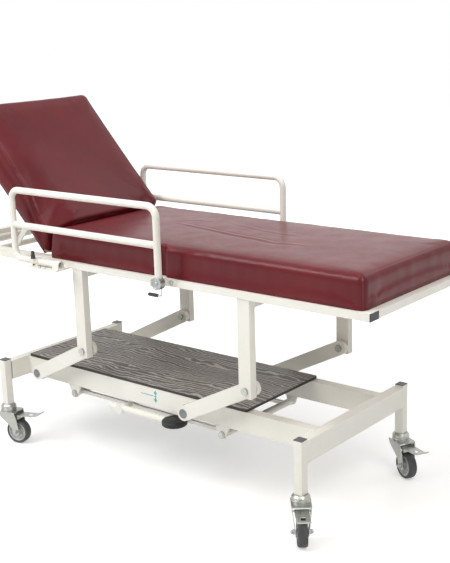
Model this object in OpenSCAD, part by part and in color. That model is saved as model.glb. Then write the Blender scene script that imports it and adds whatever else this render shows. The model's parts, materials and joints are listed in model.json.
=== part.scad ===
// Examination table with hydraulic lift, raised backrest and folding cot sides.
// Millimetres, +Z up, origin on the floor under the middle of the top frame.
// +X points to the foot end, -Y is the side with the foot pedal.

/* [Base frame] */
// Length over the legs
base_l = 1476; // [1300:1:1600]
// Width over the legs
base_w = 668; // [640:1:760]
// How far the base stands towards the foot end
base_shift = 50; // [0:1:90]
// Side of the square legs
leg_w = 32; // [30:1:40]
// Length of the legs
leg_h = 184; // [170:1:220]
// Height of the cross beams and side rails
beam_h = 76; // [70:1:90]
// Thickness of the cross beams and side rails
beam_t = 38; // [34:1:44]
// How far the beams end below the top of the legs
beam_drop = 6; // [2:1:12]
// Distance of each side rail's centre from the middle
rail_y = 194; // [185:1:205]
// Wall of all square and flat tubes
wall = 2.5; // [2:0.5:4]
// Thickness of the plastic caps on the legs
cap_t = 3; // [2:0.5:5]

/* [Shelf] */
// Length of the shelf board
shelf_l = 1115; // [1000:1:1200]
// Width of the shelf board
shelf_w = 430; // [400:1:440]
// Thickness of the shelf board
shelf_t = 10; // [9:1:18]
// Gap between the head cross beam and the shelf board
shelf_gap = 10; // [5:1:60]

/* [Lifting gear] */
// Pivot to pivot length of the lifting arms
arm_l = 345; // [320:1:360]
// Slope of the lifting arms as shown, degrees
arm_angle = 27; // [20:1:34]
// Height of the lifting arms
arm_h = 54; // [50:1:58]
// Thickness of the lifting arms
arm_w = 20; // [16:1:26]
// Distance between the head and foot pivots
pivot_spacing = 772; // [740:1:790]
// Head pivot, from the head end of the base
pivot_inset = 153; // [140:1:180]
// Diameter of the torque tubes
torque_d = 42; // [38:1:44]
// Wall of the torque tubes
torque_wall = 4; // [2.5:0.5:5]
// Wall of the bearing bushes
bush_t = 4; // [3:0.5:5]
// Diameter of the bolts at the upper ends of the arms
bolt_d = 16; // [12:1:18]
// Running clearance of bushes and bolts
run_gap = 0.06; // [0.02:0.01:0.1]
// Radius of the lifting crank
crank_r = 55; // [50:1:58]
// Diameter of the crank pin
crank_pin_d = 14; // [12:1:16]
// Free play of the crank pin in its yoke
yoke_play = 2.2; // [1.8:0.1:3]

/* [Top frame] */
// Length of the top frame's rails
frame_l = 2042; // [1980:1:2060]
// Width over the top frame's rails
frame_w = 620; // [600:1:640]
// Width of the top frame's rails
top_rail_w = 50; // [46:1:54]
// Height of the top frame's rails
top_rail_h = 25; // [24:1:30]
// Underside of the top frame above the floor, as shown
frame_z = 774; // [760:1:790]
// Width of the posts along the table
post_w = 50; // [46:1:54]
// Thickness of the posts
post_t = 30; // [26:1:32]
// How far the posts stand back from the rails' outer faces
post_inset = 3; // [2:1:6]
// How far the posts reach below the arm bolts
post_below = 25; // [20:1:30]
// Height of the cross tubes between the posts
cross_h = 30; // [25:1:40]

/* [Pads] */
// Thickness of the pads at their edges, above their boards
pad_edge_t = 100; // [80:1:110]
// Crown of the pads above their edges
pad_crown = 4; // [2:1:12]
// Thickness of the boards under the pads
board_t = 10; // [8:1:15]
// How far the pads stand back from the rails' outer faces
pad_inset = 7; // [4:1:15]
// How far the seat pad stops short of the frame's foot end
pad_end_gap = 22; // [10:1:40]
// Width of the notches in the seat pad's sides
notch_w = 32; // [24:1:40]
// Depth of these notches
notch_depth = 24; // [16:1:32]
// Distance of these notches from the upright ends of the cot sides
notch_off = 42; // [38:1:60]
// How far the middle of each side is drawn in
pad_draw = 4; // [0:0.5:8]
// Radius of the pads' upright corners
pad_corner = 26; // [12:1:40]
// How far the seat pad leans away from the backrest at its top
seat_lean = 15; // [10:1:30]

/* [Backrest] */
// Distance of the hinge line from the frame's head end
back_bay = 626; // [600:1:650]
// Length of the backrest pad
back_l = 664; // [620:1:690]
// Slope of the backrest as shown, degrees
back_angle = 47; // [40:1:55]
// Steepest slope of the backrest, degrees
back_max = 60; // [55:1:65]
// Hinge line of the backrest, from the seat pad's end
hinge_gap = 4; // [3:0.5:6]
// Diameter of the hinge pins
hinge_pin_d = 8; // [6:1:8]
// Length of the stay between its two pivots
stay_l = 230; // [200:1:240]
// How far the stay's upper pivots lie below the hinge line
stay_drop = 14; // [12:1:16]
// Slope of the slots that guide the stay, degrees
slot_slope = 2; // [1:0.25:2.5]
// Distance of the stay's arms from the middle
stay_y = 175; // [150:1:177]
// Diameter of the stay's cross bar
stay_bar_d = 24; // [20:1:26]

/* [Cot sides] */
// Length between the uprights of a cot side
cot_l = 730; // [660:1:760]
// Height of the top bar above the hinge line
cot_h = 260; // [230:1:280]
// Height of the middle bar above the hinge line
cot_mid_h = 129; // [110:1:150]
// Diameter of the cot side tube
cot_d = 25; // [22:1:28]
// Wall of the cot side tube
cot_wall = 2; // [1.5:0.5:2.5]
// Radius of the tube's bends
cot_bend = 50; // [40:1:60]
// Distance of the hinge line from the middle of the table
cot_y = 357; // [350:1:370]
// Hinge line above the underside of the top frame
cot_hinge_h = 21; // [18:1:23]
// Foot end upright, from the middle of the frame
cot_x = 226; // [200:1:250]
// Length of the tube's run along its hinge line at the head end
cot_run = 244; // [220:1:260]

/* [Pump] */
// Drop of the pump frame's shafts below the side rails
pump_drop = 33; // [30:1:40]
// Head end shaft of the pump frame, from the middle of the base
pump_shaft_head = -436; // [-460:1:-400]
// Foot end shaft of the pump frame, from the middle of the base
pump_shaft_foot = 312; // [290:1:340]
// Diameter of the pump frame's shafts
shaft_d = 26; // [22:1:30]
// Pedal shaft, from the middle of the base
pedal_x = -165; // [-200:1:-140]
// Length of the pedal lever
lever_l = 270; // [240:1:290]
// Diameter of the lever's tube
lever_d = 25; // [20:1:28]
// Diameter of the rubber pad
pedal_d = 94; // [80:1:100]
// Diameter of the hydraulic ram
ram_d = 46; // [40:1:50]
// Diameter of the ram's rod
ram_rod_d = 22; // [18:1:26]

/* [Castors] */
// Height from the floor to the legs
castor_h = 163; // [158:1:172]
// Diameter of the wheels
wheel_d = 100; // [96:1:104]
// Width of the tyres
tyre_w = 34; // [30:1:35]
// Thickness of the tyres
tyre_t = 11; // [8:1:14]
// How far the wheels trail behind their swivels
trail = 42; // [34:1:44]
// Thickness of the fork's sheet
fork_t = 3; // [2.5:0.5:3.5]
// Diameter of the swivel bearing
race_d = 60; // [56:1:64]
// Reach of the brake pedals from the swivels
brake_reach = 156; // [145:1:162]

/* [Hidden] */
$fn = 48;

// Colours
cream = [0.93, 0.91, 0.86];
burgundy = [0.42, 0.13, 0.15];
zinc = [0.72, 0.73, 0.71];
black = [0.08, 0.08, 0.08];
grey = [0.45, 0.46, 0.47];
wood = [0.42, 0.38, 0.36];

// Heights of the base and of the top frame
leg_top = castor_h + leg_h;
beam_top = leg_top - beam_drop;
beam_z = beam_top - beam_h;
pivot_z = beam_z + beam_h / 2;
frame_top = frame_z + top_rail_h;
board_top = frame_top + board_t;

// Plan of the base
base_head = base_shift - base_l / 2;
base_foot = base_shift + base_l / 2;
rail_in = rail_y - beam_t / 2;
rail_out = rail_y + beam_t / 2;
leg_x = [base_head + leg_w / 2, base_foot - leg_w / 2];
leg_y = base_w / 2 - leg_w / 2;
shelf_x = base_head + beam_t + shelf_gap;

// Lifting gear, from the posts inwards
pivot_x = base_head + pivot_inset;
crank_x = pivot_x + pivot_spacing;
bolt_x = [pivot_x, crank_x] + arm_l * cos(arm_angle) * [1, 1];
bolt_z = pivot_z + arm_l * sin(arm_angle);
post_out = frame_w / 2 - post_inset;
post_in = post_out - post_t;
washer = 3;
arm_out = post_in - washer;
arm_in = arm_out - arm_w;
boss_out = arm_in - washer;
boss_wall = 5;
bush_d = torque_d + 2 * bush_t;
fixed_gap = 0.05;
press_gap = 0.02;

// Crank and its pin
crank_a = arm_angle - 90;
crank_px = crank_x + crank_r * cos(crank_a);
crank_pz = pivot_z + crank_r * sin(crank_a);
crank_t = 10;
crank_gap = 14;

// Top frame and pads
top_rail_y = frame_w / 2 - top_rail_w / 2;
top_in = frame_w / 2 - top_rail_w;
cross_w = 40;
pad_w = frame_w - 2 * pad_inset;
seat_x1 = frame_l / 2 - pad_end_gap;
hinge_x = back_bay - frame_l / 2;
hinge_z = frame_top + 2;
seat_x0 = hinge_x + hinge_gap;
notch_x = cot_x - notch_off;
board_inset = 7;
board_lift = 0.3;

// Backrest and its stay. The stay is as long as its upper pivot is far from the hinge line,
// so its cross bar stays on a straight line through the hinge line.
back_drop = hinge_z - frame_top;
back_x0 = -hinge_gap - 5;
stay_lean = asin(stay_drop / stay_l);
stay_up = back_angle - stay_lean;
stay_a = stay_up + 2 * slot_slope;
stay_px = hinge_x - stay_l * cos(stay_up);
stay_pz = hinge_z + stay_l * sin(stay_up);
rack_margin = 14;
function bar_reach(a) = 2 * stay_l * cos(a - stay_lean + slot_slope);

// Cot side
cot_z = frame_z + cot_hinge_h;
cot_head = cot_x - cot_l;
drum_d = 44;
pivot_pin_d = 10;

// Pump frame and pedal
shaft_z = beam_z - pump_drop;
shaft_x = [base_shift + pump_shaft_head, base_shift + pump_shaft_foot];
bracket_t = 8;
bar_h = 14;
bar_t = 10;
lever_y = rail_out + 18;
lever_z = shaft_z + 4;
bar_y = lever_y - pedal_d / 2 - 6 - bar_t;
ped_x = base_shift + pedal_x;
ped_shaft_d = 18;
ped_boss_d = 32;
ram_z = crank_pz;

// Castors, in the order foot near, foot far, head near, head far
castor_pos = [[leg_x[1], -leg_y], [leg_x[1], leg_y], [leg_x[0], -leg_y], [leg_x[0], leg_y]];
castor_yaw = [-51, -29, 14, 129];
head_cone = 6;
head_t = 3;
race_h = 12;
race_gap = 0.3;
kingpin_d = 12;
axle_d = 10;
fork_top = castor_h - head_t - 2 * race_h;
fork_top_w = 67;
fork_low_w = 47;
brake_pin = [34, castor_h - 45];
brake_pin_d = 6;

// Rectangular tubes along X, Y and Z, from a corner
module tube_x(size) {
    difference() {
        cube(size);
        translate([-1, wall, wall]) cube([size[0] + 2, size[1] - 2 * wall, size[2] - 2 * wall]);
    }
}
module tube_y(size) {
    difference() {
        cube(size);
        translate([wall, -1, wall]) cube([size[0] - 2 * wall, size[1] + 2, size[2] - 2 * wall]);
    }
}
module tube_z(size) {
    difference() {
        cube(size);
        translate([wall, wall, -1]) cube([size[0] - 2 * wall, size[1] - 2 * wall, size[2] + 2]);
    }
}
// Cylinders along X and Y that start at the origin
module rod_x(d, l) {
    rotate([0, 90, 0]) cylinder(d = d, h = l);
}
module rod_y(d, l) {
    rotate([-90, 0, 0]) cylinder(d = d, h = l);
}
// Plate of thickness t from y = 0, whose outline is drawn in X and Z
module plate_y(t) {
    translate([0, t, 0]) rotate([90, 0, 0]) linear_extrude(t) children();
}
// Quarter bend of round bar in the XZ plane, from angle a on
module bend(r, d, a) {
    rotate([90, 0, 0]) rotate(a) rotate_extrude(angle = 90) translate([r, 0]) circle(d = d);
}
// Slab with round corners, from a corner
module round_slab(size, r) {
    linear_extrude(size[2]) {
        translate([r, 0]) square([size[0] - 2 * r, size[1]]);
        translate([0, r]) square([size[0], size[1] - 2 * r]);
        for (x = [r, size[0] - r], y = [r, size[1] - r]) translate([x, y]) circle(r);
    }
}
module both_sides() {
    children();
    mirror([0, 1, 0]) children();
}

// Base
module base_ends() {
    color(cream) {
        for (x = [base_head, base_foot - beam_t])
            translate([x, leg_w - base_w / 2, beam_z]) tube_y([beam_t, base_w - 2 * leg_w, beam_h]);
        for (x = leg_x, s = [-1, 1])
            translate([x - leg_w / 2, s * leg_y - leg_w / 2, castor_h]) tube_z([leg_w, leg_w, leg_h]);
    }
}

module base_rails() {
    l = base_l - 2 * beam_t;
    color(cream)
    both_sides()
    difference() {
        union() {
            translate([base_head + beam_t, rail_in, beam_z]) tube_x([l, beam_t, beam_h]);
            for (x = [pivot_x, crank_x])
                translate([x, rail_in + 0.1, pivot_z])
                    rod_y(bush_d + 2 * boss_wall, boss_out - rail_in - 0.1);
        }
        for (x = [pivot_x, crank_x])
            translate([x, rail_in - 1, pivot_z]) rod_y(bush_d, boss_out - rail_in + 2);
    }
}

module leg_caps() {
    plug = leg_w - 2 * wall - 0.4;
    plug_h = 12;
    color(grey)
    for (x = leg_x, s = [-1, 1])
        translate([x, s * leg_y, leg_top]) {
            translate([-leg_w / 2, -leg_w / 2, 0]) cube([leg_w, leg_w, cap_t]);
            translate([-plug / 2, -plug / 2, -plug_h]) cube([plug, plug, plug_h + 0.5]);
        }
}

module shelf_board() {
    color(wood)
    translate([shelf_x, -shelf_w / 2, beam_top]) round_slab([shelf_l, shelf_w, shelf_t], 6);
}

module torque_bushes() {
    color(black)
    both_sides()
    for (x = [pivot_x, crank_x])
        difference() {
            translate([x, 0, pivot_z]) {
                translate([0, rail_in, 0]) rod_y(bush_d - 2 * fixed_gap, boss_out - rail_in + 0.1);
                translate([0, boss_out, 0]) rod_y(bush_d + 6, washer - 0.4);
            }
            translate([x, rail_in - 1, pivot_z]) rod_y(torque_d + 2 * run_gap, arm_in - rail_in + 2);
        }
}

// Tapered hangers under the side rails
module pump_brackets() {
    eye = 34;
    foot_w = 62;
    color(cream)
    both_sides()
    for (x = shaft_x)
        translate([x, rail_out - bracket_t, shaft_z])
        plate_y(bracket_t)
        difference() {
            union() {
                circle(d = eye);
                polygon([[-foot_w / 2, pump_drop], [foot_w / 2, pump_drop], [eye / 2, -2], [-eye / 2, -2]]);
            }
            circle(d = bolt_d + 2 * fixed_gap);
        }
}

// Two cross shafts with long bars between them, which carry the pedal's shaft
shaft_end = rail_out - bracket_t - 0.5;
shaft_socket = 30;
module pump_frame() {
    color(cream)
    difference() {
        union() {
            for (x = shaft_x)
                translate([x, -shaft_end, shaft_z]) rod_y(shaft_d, 2 * shaft_end);
            both_sides() {
                translate([shaft_x[0], bar_y, shaft_z - 2 - bar_h / 2])
                    cube([shaft_x[1] - shaft_x[0], bar_t, bar_h]);
                translate([ped_x, bar_y - 6, shaft_z]) rod_y(ped_boss_d, bar_t + 6);
            }
        }
        both_sides()
        for (x = shaft_x)
            translate([x, shaft_end - shaft_socket, shaft_z]) rod_y(bolt_d, shaft_socket + 1);
        translate([ped_x, -rail_out, shaft_z]) rod_y(ped_shaft_d + 2 * run_gap, 2 * rail_out);
    }
}

module bracket_bolts() {
    head_d = 28;
    head_h = 6;
    reach = rail_out + 0.2 - shaft_end + shaft_socket - 1;
    color(zinc)
    both_sides()
    for (x = shaft_x)
        translate([x, rail_out + 0.2, shaft_z]) {
            rod_y(head_d, head_h);
            translate([0, head_h, 0]) rod_y(head_d - 8, 2);
            translate([0, -reach, 0]) rod_y(bolt_d - 2 * press_gap, reach + 0.5);
        }
}

// Pump block on the pedal's shaft, with its tank and the ears on the head end shaft
pump_l = 130;
pump_w = 96;
pump_h = 66;
rod_back = 58;
module pump_unit() {
    tank_l = 150;
    tank_d = 56;
    ear_t = 12;
    block_x = ped_x - pump_l / 2;
    ear_l = block_x - tank_l - shaft_x[0] + 20;
    color(grey)
    difference() {
        union() {
            translate([block_x, -pump_w / 2, shaft_z - 22]) cube([pump_l, pump_w, pump_h]);
            translate([block_x - tank_l, 0, shaft_z + 6]) rod_x(tank_d, tank_l + 1);
            both_sides()
            translate([shaft_x[0], 18, shaft_z]) {
                rod_y(shaft_d + 14, ear_t);
                translate([0, 0, -8]) cube([ear_l, ear_t, 20]);
            }
        }
        translate([shaft_x[0], -pump_w, shaft_z]) rod_y(shaft_d + 2 * fixed_gap, 2 * pump_w);
        translate([ped_x, -pump_w, shaft_z]) rod_y(ped_shaft_d + 2 * run_gap, 2 * pump_w);
        translate([block_x + 8, 0, ram_z]) rod_x(ram_rod_d + 0.4, pump_l);
    }
}

ram_x0 = ped_x + pump_l / 2;
ram_l = 150;
module ram_barrel() {
    gland = 16;
    color(zinc)
    difference() {
        union() {
            translate([ram_x0, 0, ram_z]) rod_x(ram_d, ram_l);
            translate([ram_x0 + ram_l - gland, 0, ram_z]) rod_x(ram_d + 6, gland);
        }
        translate([ram_x0 - 1, 0, ram_z]) rod_x(ram_rod_d + 2 * run_gap, ram_l + 2);
    }
}

// Rod with a slotted yoke, in which the crank's pin moves up and down
module ram_rod() {
    slot_w = crank_pin_d + 2 * yoke_play;
    slot_h = 34;
    side = 9;
    yoke_t = crank_gap - 2;
    tongue = 50;
    rod_x0 = ram_x0 - rod_back;
    color(zinc) {
        translate([rod_x0, 0, ram_z]) rod_x(ram_rod_d, crank_px - tongue - rod_x0);
        translate([crank_px, -yoke_t / 2, ram_z])
        plate_y(yoke_t)
        difference() {
            union() {
                translate([-tongue - 6, -9]) square([tongue, 18]);
                square([slot_w + 2 * side, slot_h + 2 * side], center = true);
            }
            square([slot_w, slot_h], center = true);
        }
    }
}

// Lifting arms on their torque tubes
module arm_pair(x) {
    color(cream)
    both_sides()
    translate([x, arm_in, pivot_z])
    rotate([0, -arm_angle, 0])
    difference() {
        plate_y(arm_w) {
            translate([0, -arm_h / 2]) square([arm_l, arm_h]);
            circle(d = arm_h);
            translate([arm_l, 0]) circle(d = arm_h);
        }
        translate([0, wall, wall - arm_h / 2]) cube([arm_l, arm_w - 2 * wall, arm_h - 2 * wall]);
        translate([0, -1, 0]) rod_y(torque_d + 2 * fixed_gap, arm_w + 2);
        translate([arm_l, -1, 0]) rod_y(bolt_d + 2 * run_gap, arm_w + 2);
    }
}
module head_arms() {
    arm_pair(pivot_x);
}
module foot_arms() {
    arm_pair(crank_x);
}

module head_torque_tube() {
    color(cream)
    difference() {
        translate([pivot_x, -arm_out, pivot_z]) rod_y(torque_d, 2 * arm_out);
        translate([pivot_x, -arm_out - 1, pivot_z]) rod_y(torque_d - 2 * torque_wall, 2 * arm_out + 2);
    }
}
module foot_torque_tube() {
    pin_half = crank_gap / 2 + crank_t + 3;
    cheek = 28;
    color(cream) {
        difference() {
            union() {
                translate([crank_x, -arm_out, pivot_z]) rod_y(torque_d, 2 * arm_out);
                both_sides()
                translate([crank_x, crank_gap / 2, pivot_z])
                plate_y(crank_t) {
                    circle(d = torque_d + 16);
                    rotate(crank_a) {
                        translate([0, -cheek / 2]) square([crank_r, cheek]);
                        translate([crank_r, 0]) circle(d = cheek);
                    }
                }
            }
            translate([crank_x, -arm_out - 1, pivot_z])
                rod_y(torque_d - 2 * torque_wall, 2 * arm_out + 2);
        }
        translate([crank_px, -pin_half, crank_pz]) rod_y(crank_pin_d, 2 * pin_half);
    }
}

module torque_plugs(x) {
    plug_l = 14;
    color(grey)
    both_sides()
    translate([x, arm_out - plug_l, pivot_z])
        rod_y(torque_d - 2 * torque_wall - 2 * fixed_gap, plug_l + 1.5);
}
module head_plugs() {
    torque_plugs(pivot_x);
}
module foot_plugs() {
    torque_plugs(crank_x);
}

// Hinge knuckles along the backrest's hinge line: the middle one of each group of three
// belongs to the backrest, the outer two to the frame
hinge_y = [-215, -90, 90, 215];
knuckle_d = 13;
knuckle_l = 30;
side_knuckle_l = 18;
knuckle_gap = 0.3;
carry_d = 30;
carry_x = hinge_x - bar_reach(0) - rack_margin - 16 - carry_d / 2;
module top_frame() {
    color(cream) {
        both_sides()
        translate([-frame_l / 2, top_in, frame_z]) tube_x([frame_l, top_rail_w, top_rail_h]);
        for (x = [-frame_l / 2, seat_x0 + 4, notch_x - cross_w / 2, frame_l / 2 - cross_w])
            translate([x, -top_in, frame_z]) tube_y([cross_w, 2 * top_in, top_rail_h]);
        translate([carry_x, -top_in, frame_z + top_rail_h - 1 - carry_d / 2]) rod_y(carry_d, 2 * top_in);
        difference() {
            for (y = hinge_y, s = [-1, 1])
                translate([hinge_x, y + s * (knuckle_l / 2 + knuckle_gap + side_knuckle_l / 2), hinge_z]) {
                    translate([0, -side_knuckle_l / 2, 0]) rod_y(knuckle_d, side_knuckle_l);
                    translate([0, -side_knuckle_l / 2, -13]) cube([8, side_knuckle_l, 9]);
                }
            translate([hinge_x, -top_in, hinge_z]) rod_y(hinge_pin_d + 2 * press_gap, 2 * top_in);
        }
    }
}

module post_frames() {
    color(cream)
    for (x = bolt_x) {
        translate([x - post_w / 2, -post_in, frame_z - cross_h]) tube_y([post_w, 2 * post_in, cross_h]);
        both_sides()
        difference() {
            translate([x - post_w / 2, post_in, bolt_z - post_below])
                tube_z([post_w, post_t, frame_z - bolt_z + post_below]);
            translate([x, post_in - 1, bolt_z]) rod_y(bolt_d, post_t + 2);
        }
    }
}

module rail_caps() {
    flange = 2.5;
    plug = 14;
    plug_w = top_rail_w - 2 * wall - 0.4;
    plug_h = top_rail_h - 2 * wall - 0.4;
    color(black)
    for (s = [-1, 1], e = [-1, 1])
        translate([e * (frame_l / 2 + flange / 2), s * top_rail_y, frame_z + top_rail_h / 2]) {
            cube([flange, top_rail_w, top_rail_h], center = true);
            translate([-e * plug / 2, 0, 0]) cube([plug, plug_w, plug_h], center = true);
        }
}

// Bolts through the posts and the upper ends of the arms
module arm_bolts() {
    head_d = 26;
    head_h = 7;
    nut_h = 8.5;
    inner = arm_in - 1.5 - nut_h;
    color(zinc)
    both_sides()
    for (x = bolt_x)
        translate([x, 0, bolt_z]) {
            translate([0, inner, 0]) rod_y(bolt_d - 2 * press_gap, post_out - inner + 0.5);
            translate([0, post_out + 0.2, 0]) rod_y(head_d, head_h);
            translate([0, inner, 0]) rotate([-90, 0, 0]) cylinder(d = head_d, h = nut_h, $fn = 6);
            difference() {
                translate([0, arm_out + 0.4, 0]) rod_y(head_d + 4, washer - 0.6);
                translate([0, arm_out, 0]) rod_y(bolt_d + 0.1, washer);
            }
        }
}

// Pads. The outline is a rectangle with round corners and drawn in sides. The pad is lofted
// through such outlines, moved inwards as they rise over the edge and onto the crown. The
// cover wraps around the edges of the board, which lies in the pad's underside.
function corner_arc(cx, cy, r, a0) =
    [for (i = [0:4]) [cx + r * cos(a0 + 22.5 * i), cy + r * sin(a0 + 22.5 * i)]];
function side_run(p, q, n, d) =
    let (v = q - p, inward = [-v[1], v[0]] / norm(v))
    [for (i = [1:n - 1]) let (t = i / n) p + t * v + 4 * t * (1 - t) * d * inward];
function outline(a, b, r, d) =
    let (c = [corner_arc(a - r, b - r, r, 0), corner_arc(r - a, b - r, r, 90),
        corner_arc(r - a, r - b, r, 180), corner_arc(a - r, r - b, r, 270)])
    [for (k = [0:3]) each concat(c[k], side_run(c[k][4], c[(k + 1) % 4][0], 8, d))];
// Each row holds the inset, the height and the share of the drawn in depth
crown_steps = 4;
crown_run = 225;
edge_inset = 27;
function pad_rows(t, crown) = concat(
    [[3, 0, 0], [0.8, 3, 0.3], [0.4, board_t, 0.5], [0, 0.3 * t, 0.8], [0, 0.58 * t, 1],
        [0.8, t - 28, 0.9], [3.5, t - 16, 0.8], [8, t - 8.5, 0.6], [15, t - 3.2, 0.5], [edge_inset, t, 0.4]],
    [for (i = [1:crown_steps]) let (s = i / crown_steps)
        [edge_inset + crown_run * pow(s, 1.25), t + crown * (1 - pow(1 - s, 2.2)), 0]]);
module crowned_pad(l, w, lean = 0, bevel = 0) {
    rows = pad_rows(board_t + pad_edge_t, pad_crown);
    rings = [for (row = rows)
        let (i = row[0], z = row[1],
            ring = outline(l / 2 - i * min(1, l / w), w / 2 - i, max(pad_corner - i, 2), pad_draw * row[2]))
        [for (p = ring) let (s = 4 * p[0] / l, rise = max(0, z - board_t))
            [p[0] + lean * rise / pad_edge_t * min(1, max(0, -s)) - bevel * rise * min(1, max(0, s)),
                p[1], z]]];
    m = len(rings[0]);
    top = len(rows) - 1;
    n = m * len(rows);
    crest = rows[top][1];
    middle = (rings[top][0] + rings[top][m / 2]) / 2;
    points = concat([for (ring = rings) each ring], [[0, 0, 0], [middle[0], 0, crest]]);
    faces = concat(
        [for (i = [0:m - 1]) [n, i, (i + 1) % m]],
        [for (r = [0:top - 1], i = [0:m - 1]) let (a = r * m + i, b = r * m + (i + 1) % m)
            each [[a, a + m, b], [b, a + m, b + m]]],
        [for (i = [0:m - 1]) [n + 1, top * m + (i + 1) % m, top * m + i]]);
    polyhedron(points, faces, convexity = 4);
}

board_w = pad_w - 2 * board_inset;
// Board of a pad from x0 to x1, with its underside at z = 0, grown by a gap
module board_slab(x0, x1, gap = 0) {
    translate([x0 - gap, -board_w / 2 - gap, -gap])
        round_slab([x1 - x0 + 2 * gap, board_w + 2 * gap, board_t + 2 * gap], pad_corner - board_inset + gap);
}
// Notches in both sides of the seat pad, grown by a margin
module side_notches(margin = 0) {
    r = notch_w / 2 + margin;
    y = pad_w / 2 - notch_depth + notch_w / 2;
    both_sides()
    translate([notch_x, y, frame_top - 1]) {
        cylinder(r = r, h = 2 * pad_edge_t);
        translate([-r, 0, 0]) cube([2 * r, notch_depth, 2 * pad_edge_t]);
    }
}
module pad_boards() {
    color(wood)
    difference() {
        translate([0, 0, frame_top]) board_slab(seat_x0 + board_inset, seat_x1 - board_inset);
        side_notches(board_inset);
    }
}
module seat_pad() {
    color(burgundy)
    difference() {
        translate([(seat_x0 + seat_x1) / 2, 0, frame_top + board_lift])
            crowned_pad(seat_x1 - seat_x0, pad_w, lean = seat_lean);
        side_notches();
        difference() {
            translate([0, 0, frame_top]) {
                board_slab(seat_x0 + board_inset, seat_x1 - board_inset, board_lift);
                translate([seat_x0 - 2, -board_w / 2, -1])
                    cube([pad_corner, board_w, board_t + 1 + board_lift]);
            }
            side_notches(board_inset - board_lift);
        }
    }
}

// Backrest, drawn flat behind its hinge line and then raised
module raised() {
    translate([hinge_x, 0, hinge_z]) rotate([0, back_angle, 0]) children();
}
ladder_t = 20;
ladder_y = 200;
ladder_l = 440;
stay_arm_t = 6;
stay_pin_d = 10;
module back_frame() {
    stay_r = stay_l * cos(stay_lean);
    boss_y = stay_y + stay_arm_t / 2 + 0.4;
    color(cream)
    raised()
    difference() {
        union() {
            both_sides() {
                translate([-ladder_l, ladder_y - ladder_t / 2, -back_drop - ladder_t])
                    tube_x([ladder_l - 14, ladder_t, ladder_t]);
                translate([-stay_r, boss_y, -stay_drop]) rod_y(22, ladder_y - ladder_t / 2 - boss_y + 1);
            }
            for (x = [-stay_r + 25, -34])
                translate([x, ladder_t / 2 - ladder_y, -back_drop - ladder_t])
                    tube_y([ladder_t, 2 * ladder_y - ladder_t, ladder_t]);
            for (y = hinge_y)
                translate([0, y - knuckle_l / 2, 0]) {
                    rod_y(knuckle_d, knuckle_l);
                    translate([-30, 0, -back_drop - 5]) cube([30, knuckle_l, 5]);
                }
        }
        translate([0, -top_in, 0]) rod_y(hinge_pin_d + 2 * run_gap, 2 * top_in);
        translate([-stay_r, -ladder_y, -stay_drop]) rod_y(stay_pin_d + 2 * run_gap, 2 * ladder_y);
    }
}
back_board_x = [board_inset - back_l, back_x0 - 6];
module back_board() {
    color(wood)
    raised()
    translate([0, 0, -back_drop]) board_slab(back_board_x[0], back_board_x[1]);
}
module back_pad() {
    color(burgundy)
    raised()
    translate([0, 0, -back_drop])
    difference() {
        translate([(back_x0 - back_l) / 2, 0, board_lift])
            crowned_pad(back_l + back_x0, pad_w, bevel = tan(back_max - atan(seat_lean / pad_edge_t)));
        board_slab(back_board_x[0], back_board_x[1], board_lift);
        translate([back_x0 - pad_corner, -board_w / 2, -1])
            cube([pad_corner + 2, board_w, board_t + 1 + board_lift]);
    }
}
module hinge_pins() {
    l = knuckle_l + 2 * (knuckle_gap + side_knuckle_l);
    color(zinc)
    for (y = hinge_y)
        translate([hinge_x, y - l / 2, hinge_z]) rod_y(hinge_pin_d, l);
}

// Stay: two flat arms and a cross bar that slides on the racks
rack_back_t = 3;
module back_stay() {
    arm_h = 22;
    bar_half = top_in - rack_back_t - 0.6;
    color(cream)
    translate([stay_px, 0, stay_pz])
    rotate([0, -stay_a, 0]) {
        both_sides() {
            translate([0, stay_y - stay_arm_t / 2, 0])
            plate_y(stay_arm_t) {
                circle(d = arm_h);
                translate([-stay_l, -arm_h / 2]) square([stay_l, arm_h]);
            }
            translate([0, stay_y, 0]) rod_y(stay_pin_d, ladder_y - ladder_t / 2 - stay_y);
        }
        translate([-stay_l, -bar_half, 0]) rod_y(stay_bar_d, 2 * bar_half);
    }
}

// Racks on the frame's rails. Their teeth point up to the line on which the bar slides.
module stay_racks() {
    teeth = 12;
    depth = 5;
    body_h = 12;
    reach = [bar_reach(back_max) - rack_margin, bar_reach(0) + rack_margin];
    pitch = (reach[1] - reach[0]) / teeth;
    rack_top = -stay_bar_d / 2 - 0.3;
    plate_x = hinge_x - reach[1];
    color(zinc)
    both_sides() {
        translate([plate_x, top_in - rack_back_t, frame_z - 18])
            cube([reach[1] - reach[0], rack_back_t, 18 + top_rail_h - 1]);
        translate([hinge_x, top_in - 10, hinge_z])
        plate_y(10 - rack_back_t / 2)
        rotate(slot_slope)
        polygon(concat(
            [[-reach[0], rack_top - depth - body_h]],
            [for (i = [0:teeth - 1], k = [0, 1])
                [-reach[0] - pitch * (i + k * 0.35), rack_top - k * depth]],
            [[-reach[1], rack_top], [-reach[1], rack_top - depth - body_h]]));
    }
}

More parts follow.
